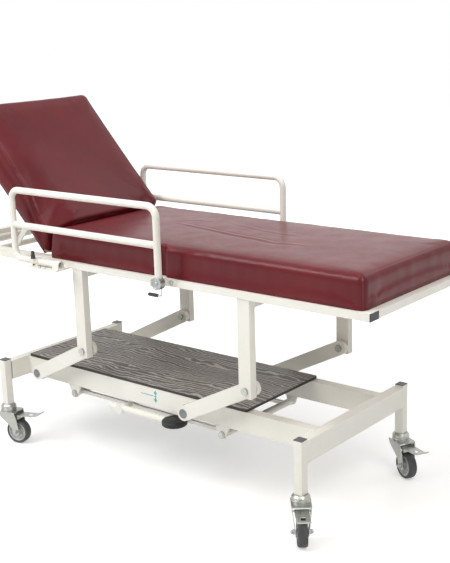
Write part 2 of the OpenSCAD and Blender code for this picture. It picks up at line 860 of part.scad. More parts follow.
// Cot side in its own frame: x as the table's, y = 0 in its plane, z = 0 on its hinge line
bend_r = cot_bend - cot_d / 2;
socket_z = 14.5;
module cot_tube(d, over) {
    translate([cot_head + bend_r, 0, 0]) rod_x(d, cot_run - bend_r + over);
    translate([cot_head + bend_r, 0, bend_r]) bend(bend_r, d, 180);
    translate([cot_head, 0, bend_r]) cylinder(d = d, h = cot_h - 2 * bend_r);
    translate([cot_head + bend_r, 0, cot_h - bend_r]) bend(bend_r, d, 90);
    translate([cot_head + bend_r, 0, cot_h]) rod_x(d, cot_l - 2 * bend_r);
    translate([cot_x - bend_r, 0, cot_h - bend_r]) bend(bend_r, d, 0);
    translate([cot_x, 0, socket_z - over]) cylinder(d = d, h = cot_h - bend_r - socket_z + over);
    translate([cot_head, 0, cot_mid_h]) rod_x(d, cot_l);
}
module cot_side() {
    color(cream)
    difference() {
        cot_tube(cot_d, 0);
        cot_tube(cot_d - 2 * cot_wall, 1);
    }
}
// End piece with the pivot pin towards the head end
module cot_knuckle() {
    flange_x = -drum_d / 2 - 7;
    color(grey)
    difference() {
        union() {
            translate([cot_x, -14, 0]) rod_y(drum_d, 23);
            translate([cot_x + flange_x - 1, 0, 0]) rod_x(pivot_pin_d, 20);
            translate([cot_x + flange_x - 5, 0, 0]) rod_x(16, 4.6);
        }
        translate([cot_x, 0, socket_z - 0.5]) cylinder(d = cot_d + 2 * fixed_gap, h = drum_d);
        translate([cot_x - 5, -15, -1]) cube([10, 2, 2]);
    }
}
plunger_off = 117;
plunger_x = cot_head + plunger_off;
plunger_y = -17.5;
stem_d = 6;
lug_top = 13;
module cot_plunger() {
    color(black)
    translate([plunger_x, plunger_y, lug_top + 0.4]) {
        translate([0, 0, -24]) cylinder(d = stem_d, h = 25);
        cylinder(d = 16, h = 15);
        cylinder(d = 13, h = 24);
        translate([0, 0, 24]) sphere(d = 13);
    }
}
latch_x = cot_x - 18;
latch_y = 32;
wire_d = 5;
wire_r = 10;
wire_drop = 56;
block_z = [-13, 11];
grip_l = 41;
module cot_latch() {
    color(zinc)
    translate([latch_x, latch_y, 0]) {
        translate([0, 0, block_z[1] + 0.3]) cylinder(d = 10, h = 3);
        translate([0, 0, wire_r - wire_drop]) cylinder(d = wire_d, h = wire_drop - wire_r + block_z[1] + 1);
        translate([-wire_r, 0, wire_r - wire_drop]) bend(wire_r, wire_d, 270);
        translate([-wire_r - 46, 0, -wire_drop]) rod_x(wire_d, 46);
    }
}
module cot_grip() {
    bore = wire_d + 2 * fixed_gap;
    color(black)
    translate([latch_x - wire_r - 50, latch_y, -wire_drop])
    difference() {
        rod_x(12, grip_l);
        translate([3.5, 0, 0]) rod_x(bore, grip_l);
    }
}
// The frame's side of the cot hinge: two bearings for the run of tube at the head end, and
// a plate with a pivot flange and the latch's block at the foot end
module cot_bracket() {
    bearing_d = cot_d + 6;
    run_end = cot_head + cot_run;
    rail_gap = cot_y - frame_w / 2;
    plate = [64, 4, 22];
    color(cream)
    difference() {
        union() {
            translate([plunger_x - 26, plunger_y - 7, -bearing_d / 2 - 5])
                cube([run_end + 5 - plunger_x + 26, rail_gap - plunger_y + 7, 5]);
            for (x = [[plunger_x - 16, 32], [run_end - 30, 35]])
                translate([x[0], 0, 0]) {
                    rod_x(bearing_d, x[1]);
                    translate([0, -bearing_d / 2, -bearing_d / 2]) cube([x[1], bearing_d, bearing_d / 2]);
                }
            translate([plunger_x - 9, plunger_y - 7, -4]) cube([18, 14, lug_top + 4]);
            translate([cot_x - plate[0] / 2 + 2, rail_gap - plate[1], 4 - plate[2]]) cube(plate);
            translate([latch_x - 8, rail_gap - 21, block_z[0]]) cube([26, 18, block_z[1] - block_z[0]]);
            translate([cot_x - drum_d / 2 - 7, -12, -12]) cube([4, rail_gap + 12 - 1, 24]);
        }
        translate([plunger_x - 40, 0, 0]) rod_x(cot_d + 2 * run_gap, run_end - plunger_x + 50);
        translate([plunger_x, plunger_y, -bearing_d]) cylinder(d = stem_d + 2 * run_gap, h = 60);
        translate([cot_x - drum_d / 2 - 10, 0, 0]) rod_x(pivot_pin_d + 2 * run_gap, 10);
        translate([latch_x, latch_y, -30]) cylinder(d = wire_d + 2 * run_gap, h = 60);
    }
}
module near_side() {
    translate([0, -cot_y, cot_z]) children();
}
module far_side() {
    mirror([0, 1, 0]) near_side() children();
}
module cot_brackets() {
    near_side() cot_bracket();
    far_side() cot_bracket();
}

// Pedal
module pump_lever() {
    boss_l = 28;
    shaft_y0 = -lever_y - boss_l / 2;
    tail = 48;
    boss_d = 36;
    color(cream)
    translate([ped_x, 0, 0]) {
        translate([0, shaft_y0, shaft_z]) rod_y(ped_shaft_d, bar_y + bar_t + 2 - shaft_y0);
        translate([0, shaft_y0, shaft_z]) rod_y(boss_d, boss_l);
        translate([-tail, -lever_y, lever_z]) {
            rod_x(lever_d, tail + lever_l + 8);
            sphere(d = lever_d);
        }
    }
}
module pedal_pad() {
    pad_h = 27;
    r = pedal_d / 2;
    low = lever_z - 7;
    color(black)
    translate([ped_x + lever_l, -lever_y, 0])
    difference() {
        translate([0, 0, low])
        rotate_extrude()
        polygon(concat([[0, 0], [r - 4, 0], [r, 4], [r, pad_h - 14]],
            [for (a = [15:15:75]) [r - 14 + 14 * cos(a), pad_h - 14 + 10 * sin(a)]],
            [[r - 16, pad_h - 3.5], [r / 2, pad_h - 1], [0, pad_h]]));
        translate([-pedal_d, 0, lever_z]) rod_x(lever_d + 2 * fixed_gap, pedal_d + 8.5);
    }
}

// Castors. In each one's own frame the swivel is the Z axis and the wheel trails towards +X.
module castor(i) {
    translate([castor_pos[i][0], castor_pos[i][1], 0]) rotate(castor_yaw[i]) children();
}
module castor_heads() {
    plug = leg_w - 2 * wall - 0.4;
    plug_h = 30;
    nut_h = 5;
    crown_low = fork_top - fork_t;
    color(zinc)
    for (x = leg_x, s = [-1, 1])
        translate([x, s * leg_y, 0]) {
            translate([-plug / 2, -plug / 2, castor_h - 1]) cube([plug, plug, plug_h + 1]);
            translate([0, 0, castor_h - head_cone]) cylinder(d1 = race_d, d2 = race_d - 12, h = head_cone);
            translate([0, 0, fork_top + race_h])
                cylinder(d = race_d, h = castor_h - head_cone - fork_top - race_h + 0.1);
            translate([0, 0, crown_low - race_gap - nut_h])
                cylinder(d = kingpin_d, h = castor_h - crown_low + nut_h);
            translate([0, 0, crown_low - race_gap - nut_h]) cylinder(d = 20, h = nut_h, $fn = 6);
        }
}
// Bezier curve of four points
function curve(p, n) = [for (i = [0:n]) let (t = i / n, u = 1 - t)
    u * u * u * p[0] + 3 * u * u * t * p[1] + 3 * u * t * t * p[2] + t * t * t * p[3]];
module fork() {
    axle_z = wheel_d / 2;
    drop = fork_top - axle_z;
    end_r = 17;
    slant = atan((fork_top_w - fork_low_w) / 2 / drop);
    side = concat(
        curve([[-30, 0], [-30, -34], [4, -34], [trail - end_r * cos(30), end_r * sin(30) - drop]], 8),
        [for (a = [170:20:370]) [trail + end_r * cos(a), end_r * sin(a) - drop]],
        curve([[trail + end_r - 1, 6 - drop], [trail + 14, -50], [trail + 10, -30], [trail + 4, 0]], 6));
    color(zinc)
    difference() {
        union() {
            translate([0, 0, fork_top - fork_t]) linear_extrude(fork_t) {
                circle(d = fork_top_w);
                translate([0, -fork_top_w / 2]) square([trail + 4, fork_top_w]);
            }
            translate([0, 0, fork_top - 0.5]) cylinder(d = race_d, h = race_h + 0.5 - race_gap);
            both_sides()
            translate([0, fork_top_w / 2, fork_top])
            rotate([-slant, 0, 0])
            translate([0, -fork_t, 0]) plate_y(fork_t) polygon(side);
            translate([trail, -fork_low_w / 2 - 2, axle_z]) rod_y(axle_d, fork_low_w + 4);
            both_sides()
            translate([trail, fork_low_w / 2 - 1, axle_z]) rod_y(17, 6);
            translate([brake_pin[0], -fork_top_w / 2 + 1, brake_pin[1]]) rod_y(brake_pin_d, fork_top_w - 2);
        }
        translate([0, 0, fork_top - 10]) cylinder(d = kingpin_d + 2 * run_gap, h = 30);
    }
}
function both_faces(half) = concat(half, [for (i = [len(half) - 1:-1:0]) [half[i][0], -half[i][1]]]);
module wheel_at() {
    translate([trail, 0, wheel_d / 2]) rotate([90, 0, 0]) rotate_extrude($fn = 64) children();
}
rim_r = wheel_d / 2 - tyre_t;
module hub() {
    bore = axle_d / 2 + run_gap;
    boss_r = 12;
    slope = (fork_top_w - fork_low_w) / 2 / (fork_top - wheel_d / 2);
    half_l = fork_low_w / 2 - fork_t - boss_r * slope - 0.6;
    color([0.78, 0.78, 0.77])
    wheel_at()
    polygon(both_faces([[bore, half_l], [boss_r, half_l], [boss_r + 1, 7], [17, 6], [18, 9], [22, 9], [23, 6],
        [rim_r - 6, 5], [rim_r - 4, tyre_w / 2 - 3], [rim_r, tyre_w / 2 - 3]]));
}
module tyre() {
    r = wheel_d / 2;
    inner = rim_r + fixed_gap;
    color(black)
    wheel_at()
    polygon(both_faces([[inner, tyre_w / 2 - 3], [inner + 3, tyre_w / 2 - 1], [r - 5, tyre_w / 2],
        [r - 2.2, tyre_w / 2 - 2], [r - 0.6, tyre_w / 2 - 5], [r, tyre_w / 2 - 9]]));
}
// Brake pedal of folded sheet, with a window and a lip
module brake() {
    half_w = 23;
    t = 2.5;
    x1 = brake_reach - 34;
    z1 = brake_pin[1] + 2;
    outer = [[brake_reach, z1 + 20], [brake_reach - t, z1 + 20], [brake_reach - 6, z1 + 12 + t],
        [x1, z1 + 5 + t], [brake_pin[0] + 4, z1 + t]];
    inner = [[brake_pin[0] + 4, z1], [44, z1], [46, wheel_d + 6], [58, wheel_d + 6], [60, z1 + 1.3],
        [x1, z1 + 5], [brake_reach - 6, z1 + 12]];
    window = [24, 16];
    color(zinc)
    difference() {
        translate([0, -half_w, 0])
        plate_y(2 * half_w) {
            polygon(concat(inner, outer));
            translate(brake_pin) circle(d = 12);
        }
        translate([x1 - window[0] - 4, -window[1] / 2, z1 - 10]) cube([window[0], window[1], 30]);
        translate([brake_pin[0], -half_w - 1, brake_pin[1]])
            rod_y(brake_pin_d + 2 * run_gap, 2 * half_w + 2);
    }
}

base_ends();
base_rails();
leg_caps();
shelf_board();
torque_bushes();
pump_brackets();
pump_frame();
bracket_bolts();
pump_unit();
ram_barrel();
castor_heads();
head_arms();
head_torque_tube();
head_plugs();
foot_arms();
foot_torque_tube();
foot_plugs();
top_frame();
post_frames();
rail_caps();
arm_bolts();
pad_boards();
seat_pad();
stay_racks();
hinge_pins();
cot_brackets();
back_frame();
back_board();
back_pad();
back_stay();
ram_rod();
pump_lever();
pedal_pad();
near_side() cot_side();  // near_cot_side
near_side() cot_knuckle();  // near_knuckle
near_side() cot_plunger();  // near_plunger
near_side() cot_latch();  // near_latch
near_side() cot_grip();  // near_grip
far_side() cot_side();  // far_cot_side
far_side() cot_knuckle();  // far_knuckle
far_side() cot_plunger();  // far_plunger
far_side() cot_latch();  // far_latch
far_side() cot_grip();  // far_grip
castor(0) fork();  // foot_near_fork
castor(0) hub();  // foot_near_hub
castor(0) tyre();  // foot_near_tyre
castor(0) brake();  // foot_near_brake
castor(1) fork();  // foot_far_fork
castor(1) hub();  // foot_far_hub
castor(1) tyre();  // foot_far_tyre
castor(1) brake();  // foot_far_brake
castor(2) fork();  // head_near_fork
castor(2) hub();  // head_near_hub
castor(2) tyre();  // head_near_tyre
castor(2) brake();  // head_near_brake
castor(3) fork();  // head_far_fork
castor(3) hub();  // head_far_hub
castor(3) tyre();  // head_far_tyre
castor(3) brake();  // head_far_brake
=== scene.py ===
"""Looks of an examination table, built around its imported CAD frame."""

import json
from math import ceil, cos, pi, radians, sin, sqrt

import bmesh
import bpy
import numpy as np
from mathutils import Matrix, Vector
from mathutils.bvhtree import BVHTree


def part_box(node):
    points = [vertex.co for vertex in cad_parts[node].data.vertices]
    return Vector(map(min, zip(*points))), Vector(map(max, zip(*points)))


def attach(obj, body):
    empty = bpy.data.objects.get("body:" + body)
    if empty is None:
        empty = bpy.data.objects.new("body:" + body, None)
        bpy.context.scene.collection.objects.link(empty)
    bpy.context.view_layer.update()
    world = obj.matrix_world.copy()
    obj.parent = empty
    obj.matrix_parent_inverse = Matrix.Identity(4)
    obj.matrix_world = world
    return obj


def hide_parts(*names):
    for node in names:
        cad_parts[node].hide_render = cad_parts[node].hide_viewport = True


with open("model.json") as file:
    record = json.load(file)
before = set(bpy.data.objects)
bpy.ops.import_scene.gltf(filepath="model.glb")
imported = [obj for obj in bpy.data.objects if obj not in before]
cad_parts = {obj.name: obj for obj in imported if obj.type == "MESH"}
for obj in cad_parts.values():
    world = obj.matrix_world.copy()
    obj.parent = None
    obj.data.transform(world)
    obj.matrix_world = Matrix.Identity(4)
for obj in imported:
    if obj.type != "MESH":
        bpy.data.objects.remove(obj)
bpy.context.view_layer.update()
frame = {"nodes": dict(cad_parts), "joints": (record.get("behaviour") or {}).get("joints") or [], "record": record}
nodes = frame["nodes"]
joint = {j["name"]: j for j in frame["joints"]}
MM = 0.001
SIDES = (("near", -1), ("far", 1))
X_AXIS, Y_AXIS, Z_AXIS = (1, 0, 0), (0, 1, 0), (0, 0, 1)


# Camera, fitted to the photograph
AZ, PITCH, ROLL = radians(39.45), radians(14.12), radians(-1.71)
EYE, SENSOR_MM, LENS_MM, CLIP_END = (2.6029, -2.8947, 1.6666), 36, 68.05, 100
right0 = Vector((cos(AZ), sin(AZ), 0))
ahead = Vector((-sin(AZ) * cos(PITCH), cos(AZ) * cos(PITCH), -sin(PITCH)))
up0 = right0.cross(ahead)
right = cos(ROLL) * right0 + sin(ROLL) * up0
up = cos(ROLL) * up0 - sin(ROLL) * right0
cam_data = bpy.data.cameras.new("camera")
cam_data.sensor_width = SENSOR_MM
cam_data.lens = LENS_MM
cam_data.clip_end = CLIP_END
cam = bpy.data.objects.new("camera", cam_data)
bpy.context.scene.collection.objects.link(cam)
cam.matrix_world = Matrix((
    (right.x, up.x, -ahead.x, EYE[0]),
    (right.y, up.y, -ahead.y, EYE[1]),
    (right.z, up.z, -ahead.z, EYE[2]),
    (0, 0, 0, 1)))
bpy.context.scene.camera = cam


# Shader nodes
def feed(tree, socket, value):
    """Links an output to the socket, or sets the socket to a plain value."""
    if isinstance(value, bpy.types.NodeSocket):
        tree.links.new(value, socket)
    elif isinstance(value, tuple) and len(value) == 3 and socket.type == "RGBA":
        socket.default_value = (*value, 1)
    else:
        socket.default_value = value


def add_node(tree, kind, *values, props=(), **inputs):
    """A shader node, with its first inputs given in order and others by name."""
    made = tree.nodes.new("ShaderNode" + kind)
    for key, value in dict(props).items():
        setattr(made, key, value)
    for socket, value in zip(made.inputs, values):
        feed(tree, socket, value)
    for key, value in inputs.items():
        feed(tree, made.inputs[key.replace("_", " ")], value)
    return made


# Factor, both colours and result of a Mix node in its colour mode
MIX_INPUTS, MIX_RESULT = (0, 6, 7), 2
# Dot product of the face's normal and its rounded one, on a face and on a worn edge
FACE_DOT, EDGE_DOT = 0.998, 0.93


class Finish:
    """A node material around one Principled shader, with short names for its nodes."""

    def __init__(self, name, **shader):
        self.mat = bpy.data.materials.new(name)
        self.mat.use_nodes = True
        self.tree = self.mat.node_tree
        self.shader = next(n for n in self.tree.nodes if n.type == "BSDF_PRINCIPLED")
        self.at = self.node("TexCoord").outputs["Object"]
        self.set(**shader)

    def node(self, kind, *values, props=(), **inputs):
        return add_node(self.tree, kind, *values, props=props, **inputs)

    def stretch(self, x, y, z, turn=(0, 0, 0), at=None):
        n = self.node("Mapping", Vector=at or self.at, Scale=(x, y, z), Rotation=turn)
        return n.outputs["Vector"]

    def noise(self, scale, detail, rough, at=None, distortion=0.0):
        n = self.node("TexNoise", Vector=at or self.at, Scale=scale, Detail=detail, Roughness=rough,
                      Distortion=distortion)
        return n.outputs["Fac"]

    def cells(self, scale):
        return self.node("TexVoronoi", Vector=self.at, Scale=scale).outputs["Distance"]

    def ramp(self, fac, *stops):
        n = self.node("ValToRGB", fac)
        ends = n.color_ramp.elements
        while len(ends) < len(stops):
            ends.new(0.5)
        for end, (at, colour) in zip(ends, stops):
            end.position = at
            end.color = (*colour, 1)
        return n.outputs["Color"]

    def calc(self, op, a, b):
        return self.node("Math", a, b, props={"operation": op}).outputs[0]

    def vector(self, op, a, b):
        return self.node("VectorMath", a, b, props={"operation": op})

    def mix(self, fac, a, b):
        n = self.node("Mix", props={"data_type": "RGBA"})
        for i, value in zip(MIX_INPUTS, (fac, a, b)):
            feed(self.tree, n.inputs[i], value)
        return n.outputs[MIX_RESULT]

    def span(self, fac, lo, hi, low=0.0, high=1.0):
        """Maps lo to hi on to low to high, held to that range."""
        return self.node("MapRange", fac, lo, hi, low, high, props={"clamp": True}).outputs[0]

    def edges(self, radius):
        """Rounded normal at sharp edges, and a mask that is 1 on them."""
        soft = self.node("Bevel", Radius=radius, props={"samples": 4}).outputs["Normal"]
        face = self.node("NewGeometry").outputs["Normal"]
        dot = self.vector("DOT_PRODUCT", soft, face).outputs["Value"]
        return soft, self.span(dot, FACE_DOT, EDGE_DOT)

    def bumps(self, *layers, normal=None):
        """Bump nodes in a chain, each (height, strength, distance)."""
        for height, strength, distance in layers:
            n = self.node("Bump", Height=height, Strength=strength, Distance=distance)
            if normal:
                feed(self.tree, n.inputs["Normal"], normal)
            normal = n.outputs["Normal"]
        self.set(Normal=normal)

    def set(self, **inputs):
        for key, value in inputs.items():
            feed(self.tree, self.shader.inputs[key.replace("_", " ")], value)
        return self.mat


# Materials
CHIP = (0.34, 0.31, 0.27)
TARNISH = (0.70, 0.66, 0.55)
RUBBED = (0.85, 0.86, 0.86)


def powder_coat(name, pale, warm):
    f = Finish(name)
    soft, edge = f.edges(0.0016)
    tint = f.mix(f.span(f.noise(3.5, 4, 0.6), 0.35, 0.7), pale, warm)
    dirt = f.calc("MULTIPLY", f.span(f.noise(38, 5, 0.7), 0.56, 0.74), 0.16)
    tint = f.mix(dirt, tint, tuple(c * 0.74 for c in warm))
    chips = f.calc("MULTIPLY", edge, f.span(f.noise(95, 3, 0.65), 0.66, 0.71))
    tint = f.mix(f.calc("MULTIPLY", chips, 0.55), tint, CHIP)
    f.bumps((f.noise(260, 2, 0.5), 0.05, 0.0006), normal=soft)
    return f.set(Base_Color=tint, Roughness=f.span(f.noise(18, 4, 0.6), 0.3, 0.75, 0.30, 0.45))


def vinyl(name, deep, light):
    f = Finish(name)
    broad = f.noise(4.2, 5, 0.6)
    tint = f.mix(f.span(broad, 0.32, 0.7), deep, light)
    pores = f.cells(760)
    tint = f.mix(f.span(pores, 0.55, 0.95, 0.0, 0.35), tint, tuple(c * 0.55 for c in deep))
    folds = f.noise(26, 4, 0.62, at=f.stretch(1.0, 2.6, 1.0, (0, 0, 0.35)))
    handled = f.span(f.noise(9, 6, 0.65), 0.3, 0.72, 0.28, 0.42)
    rough = f.calc("ADD", handled, f.span(pores, 0, 1, 0, 0.05))
    f.bumps((folds, 0.06, 0.003), (pores, 0.12, 0.0005), (f.noise(1500, 2, 0.6), 0.06, 0.0003))
    return f.set(Base_Color=tint, Roughness=rough, Specular_IOR_Level=0.1,
                 Coat_Weight=0.5, Coat_IOR=1.3, Coat_Roughness=0.2)


def metal(name, colour, rough=(0.24, 0.42), streak=(1, 1, 6), grain=120):
    f = Finish(name, Metallic=1.0)
    soft, edge = f.edges(0.0007)
    cloud = f.noise(22, 5, 0.65)
    tint = f.mix(f.span(cloud, 0.4, 0.75, 0, 0.5), colour, tuple(a * b for a, b in zip(colour, TARNISH)))
    tint = f.mix(f.calc("MULTIPLY", edge, 0.35), tint, RUBBED)
    lines = f.noise(grain, 3, 0.6, at=f.stretch(*streak))
    f.bumps((lines, 0.06, 0.0004), normal=soft)
    return f.set(Base_Color=tint, Roughness=f.span(f.noise(60, 4, 0.6), 0.3, 0.75, *rough))


def moulded(name, colour, rough=(0.42, 0.6), grain=900, worn=0.25, depth=0.1, **shader):
    f = Finish(name, **shader)
    soft, edge = f.edges(0.0009)
    light = tuple(min(1, c * 1.9 + 0.03) for c in colour)
    tint = f.mix(f.span(f.noise(30, 5, 0.6), 0.35, 0.75, 0, 0.35), colour, light)
    tint = f.mix(f.calc("MULTIPLY", edge, worn), tint, light)
    f.bumps((f.noise(grain, 2, 0.5), depth, 0.0004), normal=soft)
    return f.set(Base_Color=tint, Roughness=f.span(f.noise(40, 4, 0.6), 0.3, 0.75, *rough))


def shelf_grain(name):
    """Grey wood grain: pale streaks that wander and swirl, over a dark edge."""
    f = Finish(name, Specular_IOR_Level=0.4)
    bend = f.node("TexNoise", Vector=f.stretch(1.9, 5.2, 1), Scale=1.0, Detail=3.0, Roughness=0.58)
    push = f.node("VectorMath", bend.outputs["Color"], Scale=0.17, props={"operation": "SCALE"})
    bent = f.vector("ADD", f.at, push.outputs[0]).outputs[0]
    wave = f.node("TexWave", Vector=bent, Scale=21.0, Distortion=2.2, Detail=2.0, Detail_Scale=2.5,
                  Detail_Roughness=0.6, props={"bands_direction": "Y"}).outputs["Fac"]
    fine = f.noise(1.0, 3, 0.6, at=f.stretch(16, 230, 1, at=bent))
    patch = f.noise(1.0, 3, 0.55, at=f.stretch(2.6, 9, 1))
    streaks = f.calc("MULTIPLY", f.calc("POWER", wave, 2.0), 0.66)
    level = f.calc("ADD", streaks, f.calc("MULTIPLY", fine, 0.44))
    level = f.calc("ADD", level, f.calc("MULTIPLY", f.calc("SUBTRACT", patch, 0.5), 0.45))
    tone = f.ramp(level, (0.14, (0.080, 0.067, 0.058)), (0.34, (0.128, 0.113, 0.101)),
                  (0.54, (0.210, 0.195, 0.180)), (0.70, (0.370, 0.352, 0.334)), (0.86, (0.470, 0.455, 0.438)))
    tone = f.mix(f.span(f.noise(2.5, 3, 0.5), 0.45, 0.75, 0, 0.3), tone, (0.150, 0.118, 0.098))
    upward = f.node("SeparateXYZ", f.node("NewGeometry").outputs["Normal"]).outputs["Z"]
    tone = f.mix(f.span(upward, 0.6, 0.4), tone, (0.030, 0.026, 0.024))
    f.bumps((wave, 0.10, 0.0008), (fine, 0.12, 0.0004))
    return f.set(Base_Color=tone, Roughness=f.span(fine, 0.3, 0.7, 0.42, 0.58))


def plywood(name):
    f = Finish(name)
    soft, _ = f.edges(0.0008)
    grain = f.noise(1.0, 4, 0.6, at=f.stretch(9, 120, 120), distortion=0.6)
    tone = f.ramp(grain, (0.3, (0.36, 0.24, 0.14)), (0.5, (0.52, 0.37, 0.23)), (0.7, (0.60, 0.45, 0.29)))
    f.bumps((grain, 0.15, 0.0006), normal=soft)
    return f.set(Base_Color=tone, Roughness=0.62)


CREAM = powder_coat("cream_coat", (0.870, 0.858, 0.808), (0.830, 0.805, 0.735))
VINYL = vinyl("vinyl", (0.104, 0.0075, 0.0115), (0.142, 0.0115, 0.0165))
ZINC = metal("zinc", (0.45, 0.46, 0.44))
CAST = metal("zinc_cast", (0.38, 0.395, 0.39), rough=(0.34, 0.55), grain=300, streak=(1, 1, 1))
CHROME = metal("ground_steel", (0.80, 0.80, 0.80), rough=(0.10, 0.20), streak=(30, 1, 1))
BLACK = moulded("black_plastic", (0.018, 0.018, 0.020))
GREY = moulded("grey_plastic", (0.075, 0.080, 0.085), rough=(0.38, 0.55))
PLUG = moulded("plug_plastic", (0.19, 0.20, 0.21))
BUSH = moulded("bush_plastic", (0.030, 0.030, 0.032))
PUMP = moulded("pump_paint", (0.085, 0.090, 0.100), rough=(0.30, 0.46), grain=420, worn=0.4, depth=0.2)
RUBBER = moulded("pedal_rubber", (0.012, 0.013, 0.014), rough=(0.42, 0.58), grain=700,
                 Specular_IOR_Level=0.35)
HUB = moulded("hub_plastic", (0.50, 0.50, 0.495), rough=(0.34, 0.48), worn=0.1)
TYRE = moulded("tyre_rubber", (0.060, 0.060, 0.064), rough=(0.55, 0.75), grain=650, depth=0.2)
SHELF = shelf_grain("shelf_grain")
BOARD = plywood("plywood")
STITCH = moulded("seam_thread", (0.10, 0.014, 0.018), rough=(0.55, 0.7), grain=2600)
# Near-black colour painted as the shade inside the knuckle's slot
SLOT_SHADE = moulded("painted_slot_shade", (0.02, 0.018, 0.016), rough=(0.6, 0.8))
TEAL = moulded("teal_ink", (0.010, 0.42, 0.47), rough=(0.4, 0.5), worn=0.0)

LOOKS = {"cream_coat": CREAM, "vinyl": VINYL, "board": BOARD, "shelf_grain": SHELF, "zinc": ZINC,
         "zinc_cast": CAST, "black_plastic": BLACK, "grey_plastic": GREY, "plug_plastic": PLUG,
         "bush_plastic": BUSH, "pump_grey": PUMP, "ram_steel": CHROME, "pedal_rubber": RUBBER,
         "hub_plastic": HUB, "tyre_rubber": TYRE}
for part in frame["record"]["subparts"]:
    for s in nodes[part["node"]].material_slots:
        s.material = LOOKS[part["material_slot"]]


# Making and keeping pieces
ON_AXIS = 1e-6


def keep(name, mesh, look, body, smooth=True):
    """Links a mesh as a piece that rides on a body."""
    mesh.materials.append(look)
    if smooth:
        for p in mesh.polygons:
            p.use_smooth = True
    o = bpy.data.objects.new(name, mesh)
    bpy.context.scene.collection.objects.link(o)
    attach(o, body)
    return o


def keep_shape(name, shape, look, body, smooth=True):
    return keep(name, shape.mesh(name), look, body, smooth)


def set_points(mesh, co):
    mesh.vertices.foreach_set("co", co.astype(np.float32).ravel())
    mesh.update()


def read_rows(mesh, what):
    """The vertices' co or normal, one row for each."""
    values = np.empty(len(mesh.vertices) * 3, np.float32)
    mesh.vertices.foreach_get(what, values)
    return values.reshape(-1, 3).astype(float)


def modifier_result(o):
    dg = bpy.context.evaluated_depsgraph_get()
    return bpy.data.meshes.new_from_object(o.evaluated_get(dg))


class Shape:
    """Several closed solids gathered in one mesh, in millimetres."""

    def __init__(self):
        self.points, self.faces = [], []

    def add(self, points, faces):
        n = len(self.points)
        self.points += [tuple(p) for p in points]
        self.faces += [tuple(i + n for i in f) for f in faces]

    def loft(self, rings, loop=False):
        """Skin over rings of points, with caps unless it closes in a loop."""
        m, n = len(rings[0]), len(rings)
        faces = []
        for r in range(n if loop else n - 1):
            a, b = r * m, (r + 1) % n * m
            for i in range(m):
                j = (i + 1) % m
                faces.append((a + i, a + j, b + j, b + i))
        if not loop:
            faces += [tuple(reversed(range(m))), tuple(range((n - 1) * m, n * m))]
        self.add([p for ring in rings for p in ring], faces)

    def tube(self, path, radius, sides, loop=False):
        """Round bar along a path. Radius may be a list, one for each point."""
        path = [Vector(p) for p in path]
        n = len(path)
        rings = []
        over = None
        for i, p in enumerate(path):
            a = path[i - 1] if i or loop else path[0]
            b = path[(i + 1) % n] if i < n - 1 or loop else path[-1]
            along = (b - a).normalized()
            if over is None:
                over = Vector(Z_AXIS if abs(along.z) < 0.9 else X_AXIS)
            over = (over - over.dot(along) * along).normalized()
            across = along.cross(over)
            r = radius[i] if isinstance(radius, (list, tuple)) else radius
            rings.append([p + r * (cos(t) * across + sin(t) * over)
                          for t in (2 * pi * k / sides for k in range(sides))])
        self.loft(rings, loop=loop)

    def turned(self, profile, place, sides):
        """Solid of revolution about the local Z of place. The profile is (radius, height)."""
        points, faces, rings = [], [], []
        for r, z in profile:
            if r < ON_AXIS:
                rings.append([len(points)])
                points.append(place @ Vector((0, 0, z)))
            else:
                rings.append(list(range(len(points), len(points) + sides)))
                points += [place @ Vector((r * cos(t), r * sin(t), z))
                           for t in (2 * pi * k / sides for k in range(sides))]
        for a, b in zip(rings, rings[1:]):
            for k in range(sides):
                j = (k + 1) % sides
                quad = [a[k % len(a)], a[j % len(a)], b[j % len(b)], b[k % len(b)]]
                face = list(dict.fromkeys(quad))
                if len(face) > 2:
                    faces.append(face)
        self.add(points, faces)

    def ring(self, centre, axis, radius, bead, sides=40):
        """Weld bead round a tube, a little uneven."""
        q = Vector(axis).to_track_quat("Z", "Y").to_matrix()
        path = [Vector(centre) + q @ Vector((radius * cos(t), radius * sin(t), 0))
                for t in (2 * pi * k / sides for k in range(sides))]
        size = [bead * (1 + 0.13 * sin(7.3 * k) + 0.10 * sin(2.9 * k + 1)) for k in range(sides)]
        self.tube(path, size, 6, loop=True)

    def weld(self, p, q, bead):
        """Straight weld bead with a slight ripple and thin ends."""
        p, q = Vector(p), Vector(q)
        n = max(4, int((q - p).length / 3.5))
        path = [p.lerp(q, k / n) for k in range(n + 1)]
        size = [bead * (1 + 0.14 * sin(8.1 * k) + 0.08 * sin(3.3 * k)) * (0.45 if k in (0, n) else 1)
                for k in range(n + 1)]
        self.tube(path, size, 6)

    def mesh(self, name):
        made = bpy.data.meshes.new(name)
        made.from_pydata([(x * MM, y * MM, z * MM) for x, y, z in self.points], [], self.faces)
        b = bmesh.new()
        b.from_mesh(made)
        bmesh.ops.recalc_face_normals(b, faces=b.faces)
        b.to_mesh(made)
        b.free()
        return made


def place(x, y, z, axis=Z_AXIS):
    """Matrix that stands local Z on a point, along an axis."""
    q = Vector(axis).to_track_quat("Z", "Y").to_matrix().to_4x4()
    return Matrix.Translation((x, y, z)) @ q


def mm_box(node):
    lo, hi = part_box(node)
    return lo / MM, hi / MM


def joint_at(name):
    return Vector(joint[name]["pos_m"]) / MM


